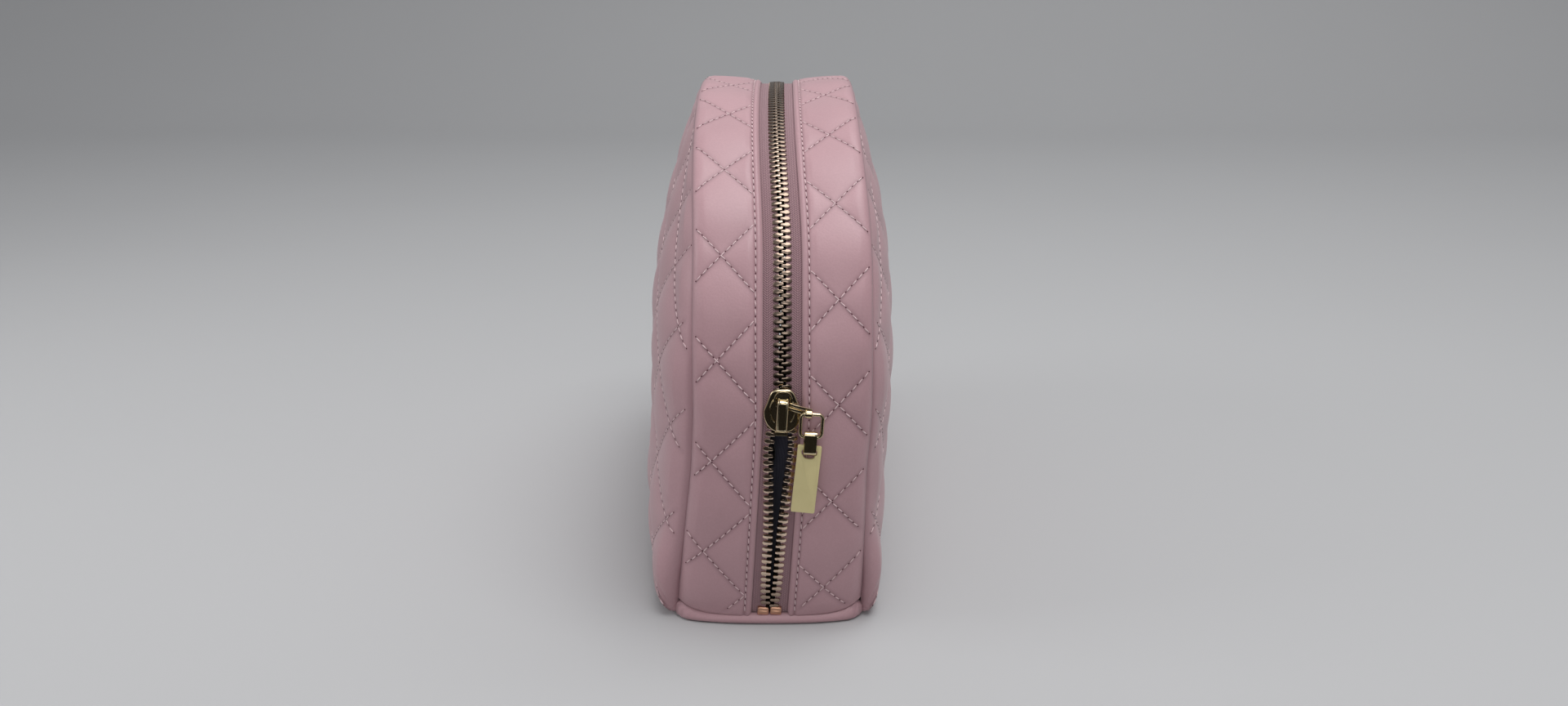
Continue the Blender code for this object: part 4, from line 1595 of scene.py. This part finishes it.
@dataclass
class LooseLining(SoftParts):
    """The slack edge of lining that hangs behind the open part of the zip."""

    low_s: float = 5.0
    high_s: float = 92.0
    width: float = 13.0

    def place(self, s: Array, down: Array) -> Array:
        """Points of the fold, which waves as it hangs from the back tape towards the front one."""
        share = down / self.width
        wave = np.sin(s / 7.5) * 1.3 + np.sin(s / 3.1 + 1.0) * 0.5
        across = 7.0 - 10.5 * share + wave * share
        depth = 4.9 + 8.0 * share**1.5 + 1.4 * np.sin(share * 5.5 + s / 11.0) * share
        return self.form.gusset(s, across, depth)

    def build(self) -> None:
        """Makes the fold."""
        mesh = sheet_mesh(
            "back_loose_lining",
            (16, 90),
            lambda u, v: (self.low_s + v * (self.high_s - self.low_s), u * self.width),
            self.place,
            lambda points: points - MIDDLE,
        )
        piece = new_object("back_loose_lining", mesh, self.finishes.lining)
        self.declare_cloth(piece, 1.25 * self.width, 1.1 * (self.high_s - self.low_s))
        self.thicken(piece, 0.3)
        self.attach(piece, Side.BACK, "lining_dark")


@dataclass
class Stops:
    """Pinched metal stops at the ends of the zip."""

    form: Form
    finishes: Finishes
    depth: float = 1.8

    def clamp(
        self, name: str, s: float, across: float, size: tuple[float, float], finish: bpy.types.Material
    ) -> bpy.types.Object:
        """Makes one stop.

        Args:
            name: the piece's name.
            s: its middle along the zip.
            across: its middle across.
            size: its width across and its length along.
            finish: its material.

        Returns:
            The piece.
        """
        points, way, out = surface_frames(
            lambda a, b: self.form.gusset(a, b, self.depth),
            np.array([s - 0.5, s, s + 0.5]),
            np.full(3, across),
            np.tile((math.copysign(1.0, self.form.length / 2 - s), 0.0, 0.3), (3, 1)),
        )
        side = np.cross(out[1], way[1])
        width, length = size
        body = prism(rounded_box(width, length, 0.5, 3), -1.5, 1.5)
        round_edges(body, 0.35, 3, 50.0)
        ridge = sweep(
            [(-width / 2 + 0.5, 0.0, 1.35), (0.0, 0.0, 1.5), (width / 2 - 0.5, 0.0, 1.35)],
            (0, 0, 1),
            disc(0.38, 8, 0.6),
        )
        place = frame_matrix(points[1], side, way[1], out[1])
        return new_object(name, join_shapes(name, [(body, place), (ridge, place)]), finish)

    def build(self) -> None:
        """Makes the two lower stops and the one that joins the rows at the far end."""
        start = self.form.s_at(6.6)
        for side in Side:
            middle = side.value * 2.25
            name = f"{side.label}_stop_clamp"
            stop = self.clamp(name, start - 1.7, middle, (4.0, 3.2), self.finishes.copper)
            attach(stop, f"{side.label}_half")
            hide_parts(f"{side.label}_end_stop")
        end = self.form.length - start + 1.5
        far = self.clamp("far_stop_clamp", end, 0.0, (5.8, 2.3), self.finishes.teeth)
        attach(far, "back_half")
        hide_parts("far_end_stop")


# ---- slider and pull ----
@dataclass(frozen=True)
class Axes:
    """A frame of its own for the slider or its pull: across, along and out."""

    origin: Array
    across: Array
    along: Array
    out: Array

    def point(self, across: float, along: float, out: float) -> Array:
        """A point given in this frame."""
        return self.origin + self.across * across + self.along * along + self.out * out

    def flat(self) -> Matrix:
        """Places a shape drawn across and along, and pulled up outwards."""
        return frame_matrix(self.origin, self.across, self.along, self.out)

    def turned(self, degrees: float, about: tuple[float, float]) -> "Axes":
        """The same frame turned in its own plane about one of its points."""
        c, s = math.cos(math.radians(degrees)), math.sin(math.radians(degrees))
        across, along = self.across * c + self.along * s, self.along * c - self.across * s
        held = self.point(*about, 0.0)
        return Axes(held - across * about[0] - along * about[1], across, along, self.out)


@dataclass
class Hardware:
    """What the slider and the pull share: their frames and their sizes."""

    form: Form
    finishes: Finishes
    slider_z: float = 83.0
    plate_top: float = 1.1
    gap: float = 0.3
    bridge_top: float = 4.6
    bridge_bottom: float = -6.8
    roll_place: tuple[float, float] = (8.6, 0.2)
    roll_radius: float = 1.35

    def __post_init__(self) -> None:
        """Works out the frames."""
        form = self.form
        rise = math.asin((self.slider_z - form.widest) / form.end_radius)
        tilt = math.atan(form.lean_most / 80.0)
        across = np.array((0.0, math.cos(tilt), -math.sin(tilt)))
        plumb = np.array((0.0, math.sin(tilt), math.cos(tilt)))
        out = np.array((math.cos(rise), 0.0, 0.0)) + plumb * math.sin(rise)
        along = np.cross(out, across)
        x = form.half_length - form.end_radius * (1 - math.cos(rise))
        origin = np.array((x, form.lean_most, self.slider_z))
        self.on_zip = Axes(origin, across, along, out)
        roll = self.on_zip.point(*self.roll_place, self.plate_top + self.gap + self.roll_radius)
        self.hanging = Axes(roll, across, plumb, np.array((1.0, 0.0, 0.0)))

    def mount(
        self, mesh: bpy.types.Mesh, finish: bpy.types.Material, body: str, *nodes: str
    ) -> bpy.types.Object:
        """Makes a piece that rides on a body and stands for its solids."""
        piece = new_object(mesh.name, mesh, finish)
        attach(piece, body)
        if nodes:
            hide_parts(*nodes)
        log.info("%s: %d faces", piece.name, len(mesh.polygons))
        return piece


@dataclass
class Slider(Hardware):
    """The zip's slider: a domed shield, the plate behind it, and the bridge that holds the pull."""

    dome: float = 0.8
    skew: float = 4.0
    shield: tuple[tuple[float, float], ...] = (
        (0.0, 7.5),
        (3.0, 7.5),
        (4.1, 6.2),
        (4.9, 3.6),
        (6.4, 0.4),
        (6.2, -2.6),
        (4.9, -5.4),
        (2.6, -7.2),
        (0.0, -7.4),
    )

    def outline(self, inset: float, height: Callable[[Array, Array], Array], shrink: float = 1.0) -> Array:
        """The shield's outline drawn in by an inset, at the height given by a function of its points."""
        right = np.array(self.shield)
        fine = np.linspace(0.0, Form.lengths(right)[-1], 33)
        curve = np.column_stack([np.interp(fine, Form.lengths(right), right[:, k]) for k in (0, 1)])
        for _ in range(4):
            curve[1:-1] = (curve[:-2] + 2 * curve[1:-1] + curve[2:]) / 4
        curve = curve * shrink * (1 - inset / 6.5)
        loop = np.vstack([curve, (curve * (-1, 1))[-2:0:-1]])
        return np.column_stack([loop, height(loop[:, 0], loop[:, 1])])

    def face(self, x: Array, y: Array) -> Array:
        """The height of the domed outer face."""
        away = np.clip(np.hypot(x / 6.2, y / 7.6), 0.0, 1.0)
        return self.plate_top - 0.15 + self.dome * (1 - away**2.2)

    def plate(
        self, low: float, top: Callable[[Array, Array], Array], shrink: float = 1.0
    ) -> bmesh.types.BMesh:
        """A shield-shaped plate with eased edges, between a flat face and a shaped one."""

        def level(drop: float) -> Callable[[Array, Array], Array]:
            """The shaped face, lowered."""
            return lambda x, y: top(x, y) - drop

        def flat(z: float) -> Callable[[Array, Array], Array]:
            """A flat face at one height."""
            return lambda x, y: np.full(len(x), z)

        rings = [(4.5, flat(low)), (0.35, flat(low)), (0.1, flat(low + 0.1)), (0.0, flat(low + 0.3))]
        rings += [(0.0, level(0.5)), (0.06, level(0.3)), (0.22, level(0.12))]
        rings += [(0.45, level(0.05)), (0.7, level(0.12))]
        rings += [(inset, level(0.15)) for inset in (0.95, 1.8, 2.8, 3.8, 4.8, 5.8, 6.4)]
        return stack([self.outline(inset, height, shrink) for inset, height in rings])

    def bridge(self) -> bpy.types.Mesh:
        """The arch: two raised rims with a sunk band between, and a flat lip at its foot."""
        low, peak = self.plate_top + self.gap, self.plate_top + 2.9
        bend = np.linspace(0.0, math.pi / 2, 7)
        round_top, round_foot = 1.6, 1.4
        high, deep = self.bridge_top - round_top, self.bridge_bottom + round_foot
        top = [
            (high + round_top * math.cos(a), peak - round_top + round_top * math.sin(a), a) for a in bend
        ]
        foot = [
            (deep - round_foot * math.sin(a), peak - round_foot + round_foot * math.cos(a), a) for a in bend
        ]
        path = [(self.bridge_top, low, 0.0), *top, *((y, z, a + math.pi / 2) for y, z, a in foot)]
        path.append((self.bridge_bottom, low, math.pi))
        route = np.array([(0.0, along, out) for along, out, _ in path])
        up = np.array([(0.0, math.cos(turn), math.sin(turn)) for _, _, turn in path])
        half, thick, sunk = 1.85, 0.8, 0.3
        profile = [(half, -thick), (half, -0.45), (half - 0.09, -0.16), (half - 0.32, 0.0)]
        profile += [(half - 0.58, -0.08), (half - 0.74, -sunk), (half - 0.9, -sunk - 0.04)]
        section = [(-x, y) for x, y in profile] + [(x, y) for x, y in reversed(profile)]
        lip = prism(rounded_box(4.4, 1.3, 0.3, 3), 2.5, 3.1)
        bmesh.ops.translate(lip, verts=lip.verts, vec=(0.0, self.bridge_bottom - 0.25, 0.0))
        round_edges(lip, 0.12, 2, 50.0)
        place = self.on_zip.flat()
        return join_shapes("slider_bridge_arch", [(sweep(route, up, section), place), (lip, place)])

    def crescents(self) -> list[bmesh.types.BMesh]:
        """The raised curved lines on each side of the bridge."""
        made = []
        turn = np.linspace(math.radians(-62), math.radians(62), 22)
        for side in (-1, 1):
            x, y = 1.2 + 2.9 * np.cos(turn), 0.4 + 4.3 * np.sin(turn)
            route = np.column_stack([side * x, y, self.face(x, y) - 0.15])
            made.append(sweep(route, (0, 0, 1), disc(0.34, 8)))
        return made

    def build(self) -> None:
        """Makes the body and the bridge."""
        place = self.on_zip.flat()
        wedge = [(-1.2, -6.2), (1.2, -6.2), (1.2, -5.6), (0.4, -3.6), (-0.4, -3.6), (-1.2, -5.6)]
        neck = prism(wedge, -3.6, 0.5)
        shield = self.on_zip.turned(self.skew, (0.0, 0.0)).flat()
        parts = [(self.plate(-0.3, self.face), shield), (neck, place)]
        parts += [(self.plate(-4.3, lambda x, y: np.full(len(x), -3.3), 0.97), place)]
        parts += [(line, shield) for line in self.crescents()]
        for side in (-1, 1):
            rail = np.array([(4.9, 3.4), (5.5, 0.6), (5.5, -3.0)])
            for low, high in ((-0.9, 0.2), (-3.9, -2.7)):
                route = np.column_stack([side * rail[:, 0], rail[:, 1], np.full(3, (low + high) / 2)])
                half = (high - low) / 2
                section = np.array([(-0.25, -half), (0.25, -half), (0.25, half), (-0.25, half)])
                parts.append((sweep(route, (0, 0, 1), section), place))
        body = join_shapes("slider_cast_body", parts)
        self.mount(body, self.finishes.gold, "slider", "slider_body")
        self.mount(self.bridge(), self.finishes.gold, "slider", "slider_bridge")


@dataclass
class Pull(Hardware):
    """The pull: a flat link, a rectangular ring, a folded strap and a plain tag."""

    ring_size: tuple[float, float] = (8.4, 9.2)
    ring_bar: float = 1.2
    shift: float = 1.2
    strap_drop: float = 3.6
    strap_slack: tuple[float, float] = (0.5, 1.2)
    strap_width: float = 4.3
    tag_size: Triple = (8.0, 24.2, 1.0)
    tag_bar: float = 1.3
    tag_tilt: float = -2.2

    @property
    def ring_drop(self) -> float:
        """Between the middles of the ring's upper and lower bars."""
        return self.ring_size[1] - self.ring_bar

    def link(self) -> bpy.types.Mesh:
        """The eye round the bridge's foot, two tail bars and the roll round the ring."""
        low = self.plate_top + self.gap
        eye_y = self.bridge_top - 0.4
        turn = np.linspace(0.0, math.tau, 40, endpoint=False)
        circle = np.column_stack([2.75 * np.cos(turn), eye_y + 2.75 * np.sin(turn), np.full(40, low + 0.35)])
        band = even_loop(rounded_box(0.8, 0.7, 0.25, 2), 12)
        parts = [(sweep(circle, (0, 0, 1), band, closed=True), self.on_zip.flat())]
        roll_x, roll_y = self.roll_place
        for offset in (-0.65, 0.65):
            start = np.array((2.0 + offset * 0.4, eye_y - 1.9 + offset, low + 0.4))
            end = np.array((roll_x + 1.0, roll_y + 0.4 + offset, low + 0.5))
            lean = np.linspace(0.0, 1.0, 10)[:, None]
            bow = np.sin(lean * math.pi) * np.array((0.0, 0.0, 0.5))
            bar = even_loop(rounded_box(1.15, 0.85, 0.35, 2), 10)
            parts.append((sweep(start * (1 - lean) + end * lean + bow, (0, 0, 1), bar), self.on_zip.flat()))
        radius = (self.roll_radius + 0.9) / 2
        loop = [(roll_x, roll_y + radius * math.cos(a), low + 1.35 + radius * math.sin(a)) for a in turn[::2]]
        wall = even_loop(rounded_box(0.45, 2.4, 0.15, 2), 12)
        outward = np.array([(0.0, math.cos(a), math.sin(a)) for a in turn[::2]])
        outward = np.vstack([outward, outward[:1]])
        parts.append((sweep(np.array(loop), outward, wall[:, ::-1], closed=True), self.on_zip.flat()))
        return join_shapes("pull_eye_link", parts)

    def ring(self) -> bpy.types.Mesh:
        """The ring of bar, round where it bears and flattened down its sides."""
        width, height = (size - self.ring_bar for size in self.ring_size)
        middle = -self.ring_drop / 2
        loop = even_loop(rounded_box(width, height, 1.5, 8), 72) + (self.shift, middle)
        route = np.column_stack([loop, np.zeros(len(loop))])
        bar = sweep(route, (0, 0, 1), disc(self.ring_bar / 2, 12), closed=True)
        return join_shapes("pull_square_ring", [(bar, self.hanging.flat())])

    def strap(self) -> bpy.types.Mesh:
        """The strap folded round the ring's lower bar and the tag's bar."""
        radius = self.ring_bar / 2 + 0.65
        slack_high, slack_low = self.strap_slack
        top, bottom = slack_high - self.ring_drop, -self.ring_drop - self.strap_drop - slack_low
        turn = np.linspace(-math.pi / 2, math.pi / 2, 10)
        over = [(top + radius * math.cos(a), radius * math.sin(a)) for a in turn]
        under = [(bottom - radius * math.cos(a), -radius * math.sin(a)) for a in turn]
        loop = np.array(over + under)
        route = np.column_stack([np.full(len(loop), self.shift), loop])
        centre = np.array((self.shift, (top + bottom) / 2, 0.0))
        outward = route - centre
        outward[:, 1] *= 0.35
        outward = np.vstack([outward, outward[:1]])
        band = even_loop(rounded_box(self.strap_width, 0.6, 0.22, 2), 16)
        fold = sweep(route, outward, band, closed=True)
        return join_shapes("pull_folded_strap", [(fold, self.hanging.flat())])

    def tag(self) -> bpy.types.Mesh:
        """The plain tag, with its waisted slot."""
        width, length, thick = self.tag_size
        bar = -self.ring_drop - self.strap_drop
        place = self.hanging.turned(self.tag_tilt, (self.shift, bar)).flat()
        top = bar + self.tag_bar / 2
        sheet = [(x + self.shift, y + top - length / 2) for x, y in rounded_box(width, length, 0.5, 3)]
        plate = prism(sheet, -thick / 2, thick / 2)
        body = new_object("tag_blank", as_mesh("tag_blank", plate, place))
        for size, radius, drop in (((5.2, 2.3), 0.9, 1.15), ((4.0, 3.4), 1.3, 1.7)):
            hole = [(x + self.shift, y + top - self.tag_bar - drop) for x, y in rounded_box(*size, radius, 4)]
            cutter = new_object("tag_cutter", as_mesh("tag_cutter", prism(hole, -thick, thick), place))
            cut = body.modifiers.new("slot", "BOOLEAN")
            cut.object = cutter
            cut.operation = "DIFFERENCE"
            cut.solver = "EXACT"
            bake_modifiers(body)
            bpy.data.objects.remove(cutter, do_unlink=True)
        ease = body.modifiers.new("ease", "BEVEL")
        ease.width = 0.16 * MM
        ease.segments = 2
        ease.angle_limit = math.radians(50)
        bake_modifiers(body)
        mesh = body.data
        bpy.data.objects.remove(body, do_unlink=True)
        mesh.name = "pull_plain_tag"
        mesh.shade_smooth()
        mesh.set_sharp_from_angle(angle=math.radians(35))
        return mesh

    def build(self) -> None:
        """Makes the four pieces."""
        gold = self.finishes.gold
        self.mount(self.link(), gold, "pull_link", "pull_link")
        self.mount(self.ring(), gold, "pull_ring", "pull_ring")
        self.mount(self.strap(), gold, "pull_connector", "pull_connector")
        self.mount(self.tag(), self.finishes.satin, "pull_tag", "pull_tag")


# ---- setting ----
@dataclass
class Studio:
    """A pale floor that sweeps up behind, soft lights and the camera."""

    camera_place: Triple = (0.4775, 0.0055, 0.211)
    camera_down: float = 17.0
    lens: float = 26.0
    floor_colour: Triple = (0.465, 0.465, 0.47)

    def floor(self) -> None:
        """Makes the floor and its sweep."""
        shape = bmesh.new()
        bmesh.ops.create_grid(shape, x_segments=90, y_segments=4, size=1.0)
        bend, radius = -1.5, 0.8
        for vert in shape.verts:
            run = 1.6 - (vert.co.x + 1) * 2.4
            past = max(bend - run, 0.0)
            angle = min(past / radius, math.pi / 2)
            rise = max(past - radius * math.pi / 2, 0.0)
            x = run if past == 0 else bend - radius * math.sin(angle)
            vert.co = (x, vert.co.y * 3.5, radius * (1 - math.cos(angle)) + rise)
        bmesh.ops.recalc_face_normals(shape, faces=shape.faces)
        mesh = bpy.data.meshes.new("studio_floor")
        shape.to_mesh(mesh)
        shape.free()
        mesh.shade_smooth()
        made, book, shader = start_material("pale_floor", {"Specular IOR Level": 0.25, "Roughness": 0.7})
        place = book.add("TexCoord").outputs["Object"]
        cloud = book.add("TexNoise", {"Vector": place, "Scale": 3.0, "Detail": 2.0}).outputs["Fac"]
        dim = tuple(c * 0.97 for c in self.floor_colour)
        book.feed(shader.inputs["Base Color"], book.mix(cloud, dim, self.floor_colour))
        floor = new_object("studio_floor", mesh, made)

    def light(self, name: str, place: Triple, size: float, power: float, aim: Triple) -> None:
        """Makes one soft square light.

        Args:
            name: the light's name.
            place: where it stands.
            size: its side's length.
            power: its power in watts.
            aim: the point that it faces.
        """
        lamp = bpy.data.lights.new(name, "AREA")
        lamp.size = size
        lamp.energy = power
        made = bpy.data.objects.new(name, lamp)
        made.location = place
        made.rotation_euler = (Vector(aim) - Vector(place)).to_track_quat("-Z", "Y").to_euler()
        bpy.context.scene.collection.objects.link(made)

    def world(self) -> None:
        """Makes soft surroundings, brighter above than below."""
        world = bpy.data.worlds.new("studio_world")
        world.use_nodes = True
        bpy.context.scene.world = world
        book = NodeBook(world.node_tree)
        sky = world.node_tree.nodes["Background"]
        height = book.add("SeparateXYZ", {0: book.add("TexCoord").outputs["Generated"]}).outputs["Z"]
        share = book.add("MapRange", {"Value": height, "From Min": 0.0, "From Max": 0.9}).outputs["Result"]
        book.feed(sky.inputs["Color"], book.mix(share, (0.36, 0.36, 0.37), (0.95, 0.97, 1.0)))
        sky.inputs["Strength"].default_value = 0.52

    def dark_card(
        self, name: str, corners: tuple[float, float, float, float], height: float, upright: bool
    ) -> None:
        """Makes a black card that only shows as a reflection in the metal.

        Args:
            name: the card's name.
            corners: lowest and highest along the bag's length, then across.
            height: how high it lies, or reaches up from the floor.
            upright: whether it stands at its far edge.
        """
        low, high, near, far = corners
        shape = bmesh.new()
        bmesh.ops.create_grid(shape, x_segments=1, y_segments=1, size=0.5)
        for vert in shape.verts:
            across = near + (vert.co.y + 0.5) * (far - near)
            share = vert.co.x + 0.5
            lying = (low + share * (high - low), across, height)
            vert.co = (high, across, share * height) if upright else lying
        mesh = bpy.data.meshes.new(name)
        shape.to_mesh(mesh)
        shape.free()
        made, book, shader = start_material(name, {"Roughness": 0.9, "Specular IOR Level": 0.0})
        place = book.add("TexCoord").outputs["Object"]
        nap = book.add("TexNoise", {"Vector": place, "Scale": 40.0}).outputs["Fac"]
        book.feed(shader.inputs["Base Color"], book.mix(nap, (0.010, 0.009, 0.008), (0.022, 0.020, 0.018)))
        card = new_object(name, mesh, made)
        card.visible_camera = card.visible_diffuse = card.visible_shadow = False

    def build(self) -> None:
        """Makes the setting."""
        scene = bpy.context.scene
        scene.view_settings.view_transform = "Standard"
        self.floor()
        self.world()
        self.light("overhead", (0.25, 0.22, 1.25), 0.8, 9.5, (0.05, 0.03, 0.0))
        self.light("backdrop", (-0.9, 0.9, 2.6), 1.6, 18.0, (-2.2, 0.5, 1.1))
        self.light("front_fill", (1.5, 0.0, 0.8), 0.7, 2.4, (0.1, 0.0, 0.08))
        self.light("left_fill", (0.15, -0.8, 0.55), 0.4, 1.6, (0.0, 0.0, 0.09))
        self.dark_card("lying_card", (0.19, 1.3, -0.7, 0.7), 0.004, False)
        self.dark_card("standing_card", (0.19, 1.3, -0.7, 0.7), 0.45, True)
        camera = bpy.data.objects.new("camera", bpy.data.cameras.new("camera"))
        camera.data.lens = self.lens
        camera.data.sensor_width = 36.0
        camera.location = self.camera_place
        camera.rotation_euler = (math.radians(90.0 - self.camera_down), 0.0, math.radians(90.0))
        scene.collection.objects.link(camera)
        scene.camera = camera


def main() -> None:
    """Builds the bag and its setting."""
    logging.basicConfig(level=logging.INFO, format="%(name)s: %(message)s")
    form, finishes, sewing = Form(), Finishes(), Sewing()
    shared = (form, finishes, sewing)
    for side in Side:
        panel = Panel(*shared, side=side)
        panel.build()
        panel.sew()
        panel.line()
        gusset = Gusset(*shared, side=side)
        gusset.build()
        gusset.sew()
        gusset.line()
        half = ZipHalf(*shared, side=side)
        half.tape()
        half.teeth()
    Base(*shared).build()
    LooseLining(*shared).build()
    Slider(form, finishes).build()
    Pull(form, finishes).build()
    Stops(form, finishes).build()
    Studio().build()


if __name__ == "__main__":
    main()
